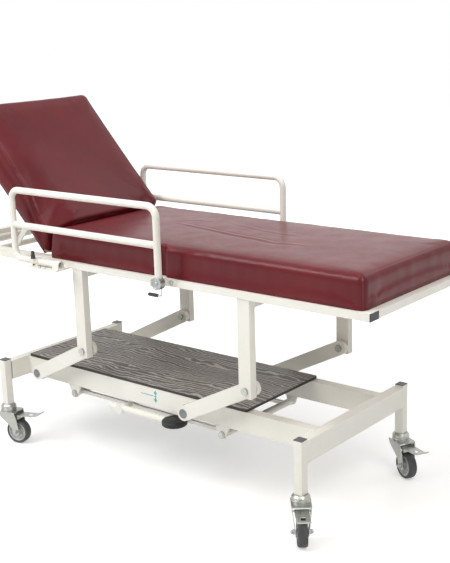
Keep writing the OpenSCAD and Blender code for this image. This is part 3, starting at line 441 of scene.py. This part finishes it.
# Pads: sizes in millimetres, as in the solids
BACK_ANGLE = radians(47)
HINGE = joint_at("backrest")
TILT = Matrix.Translation(HINGE) @ Matrix.Rotation(BACK_ANGLE, 4, "Y")
PAD_W, BOARD_T, EDGE_T = 606.0, 10.0, 100.0
PAD_T = BOARD_T + EDGE_T
CORNER, DRAW, SWELL = 26.0, 4.0, 2.6
SIDE_STEPS, NOSE_STEPS, CROWN_STEPS = 24, 8, 8
BOARD_INSET, POCKET_GAP, POCKET_CORNER = 7.0, 0.7, 19.7
NOTCH_X, NOTCH_R, NOTCH_Y = 184.0, 16.0, 295.0
BACK_L, BACK_X0, BACK_DROP = 664.0, -9.0, -1.7
# The backrest pad's end at the hinge: heights, and how far it reaches there
HINGE_END = ((10, 66, 80, 86, 95, 101, 106, 109), (0, -41, -48, -50, -49.5, -48, -47, -46))
# Cloth: voxel and held band in metres, pressure and frames
VOXEL, HELD_BAND, PRESSURE, CLOTH_FRAMES = 0.007, 0.013, 4.0, 20


def smooth(t):
    t = min(1.0, max(0.0, t))
    return t * t * (3 - 2 * t)


def pad_outline(half_l, half_w, corner, draw):
    """Plan of the pad, with round corners and sides that draw in between them."""
    arcs = []
    for sx, sy, start in ((1, 1, 0), (-1, 1, 90), (-1, -1, 180), (1, -1, 270)):
        turns = [radians(start + 15 * i) for i in range(7)]
        arcs.append([Vector((sx * (half_l - corner) + corner * cos(t),
                             sy * (half_w - corner) + corner * sin(t))) for t in turns])
    ring = []
    for arc, following in zip(arcs, arcs[1:] + arcs[:1]):
        ring += arc
        p, q = arc[-1], following[0]
        v = (q - p).normalized()
        inward = Vector((-v.y, v.x))
        for i in range(1, SIDE_STEPS):
            t = i / SIDE_STEPS
            ring.append(p.lerp(q, t) + 4 * t * (1 - t) * draw * inward)
    return ring


def pad_rows(width, nose, crown):
    """The pad's levels, from its foot to its crown: inset, height and share of the drawing in."""
    rows = [(1.5, -6, 0), (0.6, -2, 0.3), (0.4, BOARD_T, 0.5), (0, 0.3 * PAD_T, 0.9), (0, 0.55 * PAD_T, 1.0)]
    nose_in, nose_up = nose
    for k in range(NOSE_STEPS + 1):
        a = radians(90 / NOSE_STEPS * k)
        rows.append((nose_in * (1 - cos(a)), PAD_T - nose_up + nose_up * sin(a), 1.0 - 0.075 * k))
    flat = width / 2 - nose_in - 30
    for k in range(1, CROWN_STEPS + 1):
        t = k / CROWN_STEPS
        rows.append((nose_in + flat * t ** 1.25, PAD_T + crown * (1 - (1 - t) ** 2.2), 0))
    return rows


def hinge_sag(x, y, z, half_l):
    """How far the near corner at the hinge is pressed down."""
    near = smooth((-y - 170) / 125) * smooth((z - 30) / 70)
    return near * (6 * smooth((x - half_l + 440) / 160) + 24 * smooth((x - half_l + 190) / 120))


def pad_form(length, width, lean=0.0, hinge_end=False, nose=(27.0, 30.0), crown=4.0):
    """The pad before it swells: drawn in sides, a rounded rim and a low crown."""
    half_l, half_w = length / 2, width / 2
    rings = []
    for inset, z, share in pad_rows(width, nose, crown):
        ring = []
        outline = pad_outline(half_l - inset * min(1, length / width), half_w - inset,
                              max(CORNER - inset, 2), DRAW * share)
        for p in outline:
            s = 4 * p.x / length
            x, h = p.x + lean * max(0, z - BOARD_T) / EDGE_T * min(1, max(0, -s)), z
            if hinge_end:
                x += float(np.interp(z, *HINGE_END)) * min(1, max(0, s))
                h -= hinge_sag(p.x, p.y, z, half_l)
            ring.append((x, p.y, h))
        rings.append(ring)
    shape = Shape()
    shape.loft(rings)
    return shape


def cut(mesh, cutter):
    """The mesh less a cutter, both as closed solids."""
    scene = bpy.context.scene.collection
    o, c = bpy.data.objects.new("cut", mesh), bpy.data.objects.new("cutter", cutter)
    scene.objects.link(o)
    scene.objects.link(c)
    b = o.modifiers.new("less", "BOOLEAN")
    b.operation, b.solver, b.object = "DIFFERENCE", "EXACT", c
    made = modifier_result(o)
    bpy.data.objects.remove(o)
    bpy.data.objects.remove(c)
    return made


def prism(outline, z0, z1):
    s = Shape()
    s.loft([[(x, y, z) for x, y in outline] for z in (z0, z1)])
    return s.mesh("prism")


def notch_arc(x, r, way):
    """Points of a notch's round inner end, from one side of it to the other."""
    return [(x + way * r * cos(pi * k / 10), NOTCH_Y - r * sin(pi * k / 10)) for k in range(11)]


def notch_prism(n, centre_x, r):
    """Upright slot in one side of the pad, with a round inner end."""
    slot = [(r, PAD_W)] + notch_arc(0, r, 1) + [(-r, PAD_W)]
    return prism([(NOTCH_X - centre_x + x, n * y) for x, y in slot], -20, 2 * PAD_T)


def pocket_prism(length, end, centre_x):
    """Room for the board: open past one end of the pad, with round corners at the other."""
    half, far = PAD_W / 2 - BOARD_INSET + POCKET_GAP, length / 2 - BOARD_INSET + POCKET_GAP
    side = [(-length / 2 - 4, half)]
    if centre_x is not None:
        r, mid = NOTCH_R + BOARD_INSET - POCKET_GAP, NOTCH_X - centre_x
        side += [(mid - r, half)] + notch_arc(mid, r, -1) + [(mid + r, half)]
    r = POCKET_CORNER
    side += [(far - r + r * sin(radians(15 * k)), half - r + r * cos(radians(15 * k))) for k in range(7)]
    ring = side + [(x, -y) for x, y in reversed(side)]
    return prism([(end * x, y) for x, y in ring], -12, BOARD_T + 0.4)


def puff(mesh):
    """Swells a pad with cloth, held along its base, and returns the new mesh."""
    o = bpy.data.objects.new("puff", mesh)
    scene = bpy.context.scene
    scene.collection.objects.link(o)
    remesh = o.modifiers.new("remesh", "REMESH")
    remesh.mode = "VOXEL"
    remesh.voxel_size = VOXEL
    fine = modifier_result(o)
    o.modifiers.clear()
    o.data = fine
    rest = read_rows(fine, "co")
    low = rest[:, 2].min()
    held = o.vertex_groups.new(name="held")
    held.add([int(i) for i in np.nonzero(rest[:, 2] < low + HELD_BAND)[0]], 1.0, "REPLACE")
    cloth = o.modifiers.new("cloth", "CLOTH")
    c = cloth.settings
    c.quality, c.mass = 4, 0.4
    c.tension_stiffness = c.compression_stiffness = 22
    c.shear_stiffness, c.bending_stiffness = 9, 1.2
    c.use_pressure, c.uniform_pressure_force = True, PRESSURE
    c.vertex_group_mass, c.pin_stiffness = "held", 5
    c.effector_weights.gravity = 0
    for f in range(1, CLOTH_FRAMES + 1):
        scene.frame_set(f)
    moved = read_rows(modifier_result(o), "co") - rest
    scene.frame_set(1)
    o.modifiers.clear()
    size = np.linalg.norm(moved, axis=1, keepdims=True)
    cap = SWELL * MM
    moved *= cap * np.tanh(size / cap) / np.maximum(size, 1e-9)
    set_points(fine, rest + moved)
    sub = o.modifiers.new("sub", "SUBSURF")
    sub.levels = sub.render_levels = 1
    made = modifier_result(o)
    bpy.data.objects.remove(o)
    return made


def rounded(points):
    """A line with its corners cut off three times."""
    for _ in range(3):
        cuts = [tuple(np.array(a) + f * (np.array(b) - np.array(a))) for a, b in zip(points, points[1:])
                for f in (0.25, 0.75)]
        points = [points[0]] + cuts + [points[-1]]
    return points


def creases(co, normals, lines):
    """Raises soft creases: each line is points (x, y) in mm, height and half width."""
    for points, height, half in lines:
        points = rounded(points)
        best = np.full(len(co), 1e9)
        along = np.zeros(len(co))
        total = 0.0
        spans = list(zip(points, points[1:]))
        length = sum((Vector(b) - Vector(a)).length for a, b in spans)
        for a, b in spans:
            a, b = np.array(a, float), np.array(b, float)
            d = b - a
            t = np.clip(((co[:, :2] - a) @ d) / (d @ d), 0, 1)
            gap = np.linalg.norm(co[:, :2] - a - t[:, None] * d, axis=1)
            near = gap < best
            along[near] = (total + t * np.linalg.norm(d))[near] / length
            best = np.minimum(best, gap)
            total += np.linalg.norm(d)
        fade = np.sin(np.pi * np.clip(along, 0, 1)) ** 0.6
        ridge = np.exp(-(best / half) ** 2)
        trough = np.exp(-((best - 2.1 * half) / half) ** 2)
        lift = height * fade * (ridge - 0.45 * trough)
        co += normals * (lift * (normals[:, 2] > 0.5))[:, None]


def slack(mesh, crease_lines, seed):
    """Adds the slack of a used cover: ripples, a shallow dip and creases."""
    co = read_rows(mesh, "co") / MM
    normals = read_rows(mesh, "normal")
    x, y, z = co.T
    rise = np.clip((z - z.min() - 4) / 12, 0, 1)
    pull = np.sin(x / 23.0 + seed) * np.sin(x / 61.0 + y / 47.0 + 2 * seed) * np.cos(y / 29.0 - seed)
    top = np.clip((normals[:, 2] - 0.4) / 0.4, 0, 1)
    ripple = 0.45 * pull * rise + 0.30 * np.sin(x / 9.5 + 3 * np.sin(y / 33.0 + seed)) * (1 - top) * rise
    dip = -1.2 * np.exp(-((x - 40) / 170.0) ** 2 - (y / 150.0) ** 2) * top
    co += normals * (ripple + dip)[:, None]
    creases(co, normals, crease_lines)
    set_points(mesh, co * MM)


def settle(name, mesh, body, node, to_world):
    """Moves the pad to its place and returns the piece."""
    m = np.array(to_world, float)
    co = read_rows(mesh, "co") / MM @ m[:3, :3].T + m[:3, 3]
    set_points(mesh, co * MM)
    mesh.materials.clear()
    o = keep(name, mesh, VINYL, body)
    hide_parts(node)
    return o


seat_lo, seat_hi = mm_box("seat_pad")
SEAT_X, SEAT_L = (seat_lo.x + seat_hi.x) / 2, seat_hi.x - seat_lo.x
pads = {
    "seat_cushion": dict(
        node="seat_pad", body="top", length=SEAT_L, form=dict(lean=15.0), open_end=1, notched=SEAT_X,
        to=Matrix.Translation((SEAT_X, 0, seat_lo.z)),
        creases=[([(-323, 11), (-185, -10), (5, -50), (132, -65), (221, -89), (274, -65), (339, -67)],
                  1.9, 8.0),
                 ([(-342, 70), (-208, 103)], 0.8, 6.0),
                 ([(-150, 120), (60, 60), (240, 50)], 0.6, 9.0)],
        corners=[(-1, -1), (-1, 1), (1, -1), (1, 1)]),
    "back_cushion": dict(
        node="back_pad", body="back", length=BACK_L + BACK_X0,
        form=dict(hinge_end=True, nose=(15.0, 17.0), crown=9.0), open_end=-1, notched=None,
        to=TILT @ Matrix.Translation(((BACK_X0 - BACK_L) / 2, 0, BACK_DROP)),
        creases=[([(180, -210), (215, -60), (190, 120)], 0.9, 8.0)],
        corners=[(-1, -1), (-1, 1)]),
}
cushions = {}
for k, (name, p) in enumerate(pads.items()):
    form = pad_form(p["length"] - 2 * SWELL, PAD_W - 2 * SWELL, **p["form"]).mesh(name)
    if p["notched"] is not None:
        for n in (-1, 1):
            form = cut(form, notch_prism(n, p["notched"], NOTCH_R + SWELL))
    soft = puff(form)
    slack(soft, p["creases"], 1.7 * k)
    far = p["length"]
    soft = cut(soft, prism([(-far, -far), (far, -far), (far, far), (-far, far)], -40, 0))
    soft = cut(soft, pocket_prism(p["length"], p["open_end"], p["notched"]))
    cushions[name] = settle(name, soft, p["body"], p["node"], p["to"])


def seam_paths(piece, to, length, width, corners):
    """Upright corner seams, laid on the cover's surface. Returns paths in mm."""
    tree = BVHTree.FromObject(piece, bpy.context.evaluated_depsgraph_get())
    back = piece.matrix_world.inverted()
    steps = 12
    paths = []
    for sx, sy in corners:
        path = []
        for k in range(steps + 1):
            z = 5 + (PAD_T - 12) * k / steps
            start, goal = (to @ Vector((sx * (length / 2 + out), sy * (width / 2 + out), z))
                           for out in (30, -120))
            hit = tree.ray_cast(back @ (start * MM), (goal - start).normalized())[0]
            if hit is not None:
                path.append((piece.matrix_world @ hit) / MM)
        if len(path) > 3:
            paths.append(path)
    return paths


for name, p in pads.items():
    s = Shape()
    for path in seam_paths(cushions[name], p["to"], p["length"], PAD_W, p["corners"]):
        s.tube(path, 1.3, 8)
    keep_shape(name + "_seams", s, STITCH, p["body"])


# Welds: millimetres, as in the solids
BEAM_Z, BEAM_TOP, RAIL_IN, RAIL_OUT, LEG_IN, PIVOT_Z = 265.0, 341.0, 175.0, 213.0, 302, 303
FRAME_Z, FRAME_TOP, TOP_IN, POST_IN, POST_OUT, CROSS_Z = 774, 799, 260, 277, 307, 744
HEAD_TUBE_X, CRANK_X = -535, 237
COT_X, COT_Y, COT_Z = 226, 357, 795
POST_X = (joint_at("top_level").x, joint_at("top_level").x + 772.0)
# Each end frame: both faces of its legs, and its beam's faces inwards and outwards
END_FRAMES = ((-688, -656, -650, -688), (756, 788, 750, 788))


def welds(name, body, make):
    s = Shape()
    make(s)
    keep_shape(name, s, CREAM, body)


def ring_welds(name, body, rings):
    """Beads round tubes, each (centre, axis, radius)."""
    welds(name, body, lambda s: [s.ring(centre, axis, r, 1.7) for centre, axis, r in rings])


def base_welds(s):
    for leg_x0, leg_x1, inner, outer in END_FRAMES:
        for n in (-1, 1):
            y = n * LEG_IN
            for z in (BEAM_TOP, BEAM_Z):
                s.weld((leg_x0 + 1, y, z), (leg_x1 - 1, y, z), 2.0)
            s.weld((outer, y, BEAM_Z + 2), (outer, y, BEAM_TOP - 2), 1.6)
            for z in (BEAM_TOP, BEAM_Z):
                s.weld((inner, n * (RAIL_IN + 2), z), (inner, n * (RAIL_OUT - 2), z), 1.8)
            for rail_y in (RAIL_IN, RAIL_OUT):
                s.weld((inner, n * rail_y, BEAM_Z + 2), (inner, n * rail_y, BEAM_TOP - 2), 1.8)
    for hanger_x in (-386, 362):
        for n in (-1, 1):
            for y in (205, RAIL_OUT):
                s.weld((hanger_x - 30, n * y, BEAM_Z), (hanger_x + 30, n * y, BEAM_Z), 1.7)
            for e in (-11, 11):
                s.weld((hanger_x + e, n * 178, 223), (hanger_x + e, n * 178, 237), 1.4)


def top_welds(s):
    for x in POST_X:
        for n in (-1, 1):
            s.weld((x - 24, n * POST_OUT, FRAME_Z), (x + 24, n * POST_OUT, FRAME_Z), 1.8)
            for e in (-25, 25):
                s.weld((x + e, n * (POST_IN + 2), FRAME_Z), (x + e, n * (POST_OUT - 2), FRAME_Z), 1.8)
                s.weld((x + e, n * POST_IN, CROSS_Z + 1), (x + e, n * POST_IN, FRAME_Z - 1), 1.6)
            s.weld((x - 24, n * POST_IN, CROSS_Z), (x + 24, n * POST_IN, CROSS_Z), 1.8)
    for x0, inner in ((-1021, -981), (981, 981)):
        for n in (-1, 1):
            y = n * TOP_IN
            s.weld((inner, y, FRAME_Z + 2), (inner, y, FRAME_TOP - 1), 1.6)
            for z in (FRAME_TOP, FRAME_Z):
                s.weld((x0 + 2, y, z), (x0 + 38, y, z), 1.4)
    for n in (-1, 1):
        s.ring((-899.84, n * TOP_IN, 783), Y_AXIS, 15.2, 1.6)
        for x in (-387, 164):
            s.weld((x + 2, n * TOP_IN, FRAME_Z), (x + 38, n * TOP_IN, FRAME_Z), 1.5)


welds("base_welds", "base", base_welds)
welds("top_welds", "top", top_welds)
for side, n in SIDES:
    ring_welds(side + "_cot_welds", side + "_cot",
               [((x, n * COT_Y, 924), X_AXIS, 12.4) for x in (-491.2, 213.2)])
ring_welds("near_lever_weld", "pedal", [((x, -231, 236), X_AXIS, 12.4) for x in (-97.4, -132.6)])
ring_welds("foot_crank_welds", "foot_arms",
           [((CRANK_X, n * 17.2, PIVOT_Z), Y_AXIS, 21.2) for n in (-1, 1)])


# Fastenings
def hex_nut(s, m, across, height, spin):
    """Chamfered hexagon on a place."""
    r = across / sqrt(3)
    turn = m @ Matrix.Rotation(spin, 4, "Z")
    s.loft([[turn @ Vector((share * r * cos(pi / 3 * k), share * r * sin(pi / 3 * k), z)) for k in range(6)]
            for share, z in ((0.86, 0), (1.0, 0.8), (1.0, height - 0.9), (0.86, height))])


def button_head(s, m, d, h):
    """Round head with a hexagon socket."""
    r = d / 2
    socket = 0.36 * r
    s.turned([(0, 0), (r, 0), (r, 0.25 * h), (0.92 * r, 0.62 * h), (0.72 * r, 0.9 * h),
              (socket + 0.6, h), (socket, h - 0.2), (socket, 0.45 * h), (0, 0.38 * h)], m, 28)


def washer(s, m, d, hole, t):
    r0, r1 = hole / 2, d / 2
    s.turned([(r0, 0), (r1, 0), (r1, t * 0.7), (r1 - 0.3, t), (r0, t), (r0, 0)], m, 28)


s = Shape()
for _, n in SIDES:
    out = (0, n, 0)
    washer(s, place(243, n * 314.0, 788, out), 17, 8.4, 1.2)
    button_head(s, place(243, n * 315.2, 788, out), 13.5, 4.6)
    for x in (-352, -322):
        seat = place(x, n * 376.0, 779.5)
        hex_nut(s, seat, 9, 4.2, 0.3)
        s.turned([(0, 0), (2.6, 0), (2.6, 6.2), (1.9, 7), (0, 7)], seat, 16)
keep_shape("cot_bracket_bolts", s, ZINC, "top")

for side, n in SIDES:
    face = place(COT_X, n * 371.0, COT_Z, (0, n, 0))
    s = Shape()
    s.turned([(0, 0), (7.4, 0), (8, 0.7), (8, 1.6), (6.2, 2.2), (5.8, 3.0), (0, 3.4)], face, 32)
    s.turned([(15.6, 0), (21.5, 0), (21.5, 0.7), (20.6, 1.3), (16.4, 1.3), (15.6, 0.8), (15.6, 0)], face, 40)
    keep_shape(side + "_knuckle_face", s, CAST, side + "_cot")
    # A thin near-black bar across the knuckle's face: painted shade standing for its slot
    s = Shape()
    s.tube([(COT_X + e, n * 372.5, COT_Z) for e in (-7, 7)], 0.9, 6)
    keep_shape(side + "_knuckle_painted_slot_shade", s, SLOT_SHADE, side + "_cot")

# Castors: axle nuts, hub ribs and the lips of the swivel races
HUB_RIM = [(18.2, -0.5), (21.8, -0.5), (21.8, 0.6), (20.9, 1.5), (19.1, 1.5), (18.2, 0.6), (18.2, -0.5)]
RACE_LIP = [(29.7, 0), (30.6, 0.3), (30.9, 1.1), (30.5, 1.9), (29.7, 2.2), (29.7, 0)]
for c in ("foot_near", "foot_far", "head_near", "head_far"):
    pivot, hub, axle = joint_at(c + "_swivel"), joint_at(c + "_roll"), Vector(joint[c + "_roll"]["axis"])
    fork, wheel = Shape(), Shape()
    for n in (-1, 1):
        face = hub + n * 28.5 * axle
        washer(fork, place(*face, n * axle), 16.5, 8.4, 1.3)
        hex_nut(fork, place(*(face + n * 1.3 * axle), n * axle), 13, 5.6, 0.4)
        fork.turned([(0, 0), (4, 0), (4, 8.4), (3.2, 9.2), (0, 9.2)], place(*face, n * axle), 20)
        rim = place(*(hub + n * 9.0 * axle), n * axle)
        wheel.turned(HUB_RIM, rim, 48)
        for k in range(6):
            turn = rim @ Matrix.Rotation(pi / 3 * k + 0.3, 4, "Z")
            wheel.tube([turn @ Vector((24.5, 0, -3.6)), turn @ Vector((31.5, 0, -3.9))], [1.9, 1.4], 8)
    keep_shape(c + "_axle_nuts", fork, ZINC, c + "_swivel")
    keep_shape(c + "_hub_ribs", wheel, HUB, c + "_wheel")
    for name, heights, body in ((c + "_race_lips", (148.3, 154.4), "base"),
                                (c + "_fork_lip", (144.9,), c + "_swivel")):
        s = Shape()
        for z in heights:
            s.turned(RACE_LIP, place(pivot.x, pivot.y, z), 48)
        keep_shape(name, s, ZINC, body)

# Rings on the plugs of the torque tubes
for body, x in (("head_arms", HEAD_TUBE_X), ("foot_arms", CRANK_X)):
    s = Shape()
    for _, n in SIDES:
        plug = place(x, n * 275.5, PIVOT_Z, (0, n, 0))
        s.turned([(13.2, 0), (14.4, 0), (14.2, 0.6), (13.4, 0.6), (13.2, 0)], plug, 40)
        s.turned([(0, 0), (2.2, 0), (2.0, 0.5), (0, 0.7)], plug, 20)
    keep_shape(body + "_plug_rings", s, PLUG, body)

# Grip ridges, and rings on the plungers
for side, n in SIDES:
    s = Shape()
    for k in range(7):
        x = 153 + 5.2 * k
        s.tube([(x, n * 325, 739), (x + 2.4, n * 325, 739)], 6.5, 20)
    keep_shape(side + "_grip_ridges", s, BLACK, side + "_latch")
    s = Shape()
    plunger = place(-387, n * 374.5, 808.4)
    s.turned([(8, 1.0), (8.7, 1.4), (8.7, 3.0), (8, 3.4), (8, 1.0)], plunger, 32)
    s.turned([(8, 11.4), (8.6, 11.8), (8.6, 13.4), (8, 13.8), (8, 11.4)], plunger, 32)
    keep_shape(side + "_plunger_rings", s, BLACK, side + "_plunger")


# Cover's margin on the back of the backrest, with its staples
MARGIN_Z, MARGIN_SWAY, MARGIN_STEP = (-2.03, -2.32), 0.8, 14


def on_back(x, y, z, sway=0.0):
    """A point on the back of the backrest as it stands at rest, swayed along its edges."""
    return TILT @ Vector((x + sway * sin(y / 31), y + sway * sin(x / 27), z))


def margin():
    """The margin along three edges of the board, and its staples."""
    s, staples = Shape(), Shape()
    inner_x, outer_x, half, wide = -BACK_L + 46, -BACK_L + 4, 299.0, 43.0
    side_x0, side_x1 = outer_x + wide - 2, BACK_X0 - 8
    strips = [((outer_x, -half), (outer_x + wide, half)),
              ((side_x0, -half), (side_x1, -half + wide)),
              ((side_x0, half - wide), (side_x1, half))]
    for (x0, y0), (x1, y1) in strips:
        nx, ny = (max(2, ceil(abs(reach) / MARGIN_STEP)) for reach in (x1 - x0, y1 - y0))
        rings = []
        for i in range(nx + 1):
            x = x0 + (x1 - x0) * i / nx
            under, over = [], []
            for j in range(ny + 1):
                y = y0 + (y1 - y0) * j / ny
                wave = 0.35 * sin(x / 17 + y / 23) + 0.3 * sin(x / 7.3) * cos(y / 8.9)
                under.append(on_back(x, y, MARGIN_Z[1] + 0.12 * wave, MARGIN_SWAY))
                over.append(on_back(x, y, MARGIN_Z[0], MARGIN_SWAY))
            rings.append(under + over[::-1])
        s.loft(rings)
    line = [((inner_x - 14, y), (0, 1)) for y in np.arange(-270, 271, 30)]
    for n in (-1, 1):
        line += [((x, n * (half - wide + 10)), (1, 0)) for x in np.arange(inner_x + 8, BACK_X0 - 20, 31)]
    z = MARGIN_Z[1] - 0.2
    for (x, y), (dx, dy) in line:
        a, b = (x - 5 * dx, y - 5 * dy), (x + 5 * dx, y + 5 * dy)
        staples.tube([on_back(*a, z + 0.5), on_back(*a, z), on_back(*b, z), on_back(*b, z + 0.5)], 0.4, 6)
    return s, staples


s, staples = margin()
keep_shape("back_cover_margin", s, VINYL, "back")
keep_shape("back_staples", staples, ZINC, "back")

# Arrows by the pedal's height, without words: a line, an arrow up, an arrow down and a diamond
s = Shape()
for points in ([(-24, 311), (39, 310.4), (39, 307.8), (-24, 308.4)],
               [(40, 320), (58, 320), (49, 333)], [(46, 313.6), (52, 313.6), (52, 320.2), (46, 320.2)],
               [(40, 298), (49, 285), (58, 298)], [(46, 297.8), (52, 297.8), (52, 304.4), (46, 304.4)],
               [(42, 309), (49, 313), (56, 309), (49, 305)]):
    s.loft([[(x, y, z) for x, z in points] for y in (-213.02, -213.25)])
keep_shape("height_arrows", s, TEAL, "base", smooth=False)


# Floor, background and light
FLOOR_HALF, FLOOR_COLOUR = 14, (0.80, 0.80, 0.795)
# Distance from the object's middle and the glow there: beside the object, and far from it
GLOW_NEAR, GLOW_FAR = (1.0, 0.42), (3.4, 1.0)
FILL_COLOUR, FILL = (1.0, 0.99, 0.97), 0.34


def seen_by(tree, first, *others):
    """1 for the kinds of ray that are named, and 0 for the rest."""
    path = add_node(tree, "LightPath")
    seen = path.outputs[first]
    for kind in others:
        seen = add_node(tree, "Math", seen, path.outputs[kind], props={"operation": "MAXIMUM"}).outputs[0]
    return seen


def white_ground(name):
    """Floor that the lamps light, and that the camera sees whiter, more so away from the object."""
    m = bpy.data.materials.new(name)
    m.use_nodes = True
    t = m.node_tree
    t.nodes.clear()
    reach = add_node(t, "VectorMath", add_node(t, "TexCoord").outputs["Object"],
                     props={"operation": "LENGTH"}).outputs["Value"]
    (near, near_glow), (far, far_glow) = GLOW_NEAR, GLOW_FAR
    glow = add_node(t, "MapRange", reach, near, far, near_glow, far_glow,
                    props={"interpolation_type": "SMOOTHSTEP"}).outputs[0]
    seen = seen_by(t, "Is Camera Ray", "Is Glossy Ray", "Is Transmission Ray")
    strength = add_node(t, "Math", seen, glow, props={"operation": "MULTIPLY"}).outputs[0]
    lit = add_node(t, "BsdfDiffuse", Color=FLOOR_COLOUR).outputs[0]
    white = add_node(t, "Emission", Strength=strength).outputs[0]
    both = add_node(t, "AddShader", lit, white).outputs[0]
    add_node(t, "OutputMaterial", Surface=both)
    return m


floor_mesh = bpy.data.meshes.new("floor")
floor_mesh.from_pydata([(x * FLOOR_HALF, y * FLOOR_HALF, 0) for x, y in ((-1, -1), (1, -1), (1, 1), (-1, 1))],
                       [], [(0, 1, 2, 3)])
floor_mesh.materials.append(white_ground("floor"))
floor = bpy.data.objects.new("floor", floor_mesh)
bpy.context.scene.collection.objects.link(floor)

world = bpy.data.worlds.new("world")
bpy.context.scene.world = world
world.use_nodes = True
t = world.node_tree
t.nodes.clear()
fill = add_node(t, "Background", FILL_COLOUR, FILL).outputs[0]
white = add_node(t, "Background", (1, 1, 1), 1.0).outputs[0]
seen = seen_by(t, "Is Camera Ray", "Is Glossy Ray")
add_node(t, "OutputWorld", Surface=add_node(t, "MixShader", seen, fill, white).outputs[0])


def area(name, at, target, size, power, colour=(1, 1, 1)):
    lamp = bpy.data.lights.new(name, "AREA")
    lamp.shape = "RECTANGLE"
    lamp.size, lamp.size_y = size
    lamp.energy, lamp.color = power, colour
    o = bpy.data.objects.new(name, lamp)
    bpy.context.scene.collection.objects.link(o)
    o.location = at
    o.rotation_mode = "QUATERNION"
    o.rotation_quaternion = (Vector(target) - Vector(at)).to_track_quat("-Z", "Y")


area("key", (-1.7, -3.4, 4.0), (0, 0, 0.6), (2.6, 2.6), 128, (1, 0.995, 0.98))
area("top", (0.4, -0.6, 4.4), (0.2, 0, 0.6), (2.4, 2.4), 46)
area("side", (3.4, -1.4, 3.7), (0.5, 0, 0.4), (2.0, 2.0), 60, (1, 0.98, 0.95))
area("strip", (-2.3, -1.7, 3.7), (0.2, -0.3, 0.9), (4.2, 0.22), 26)
area("back", (1.8, 3.4, 4.4), (0, 0, 0.6), (2.6, 2.6), 30)

bpy.context.scene.view_settings.view_transform = "Standard"
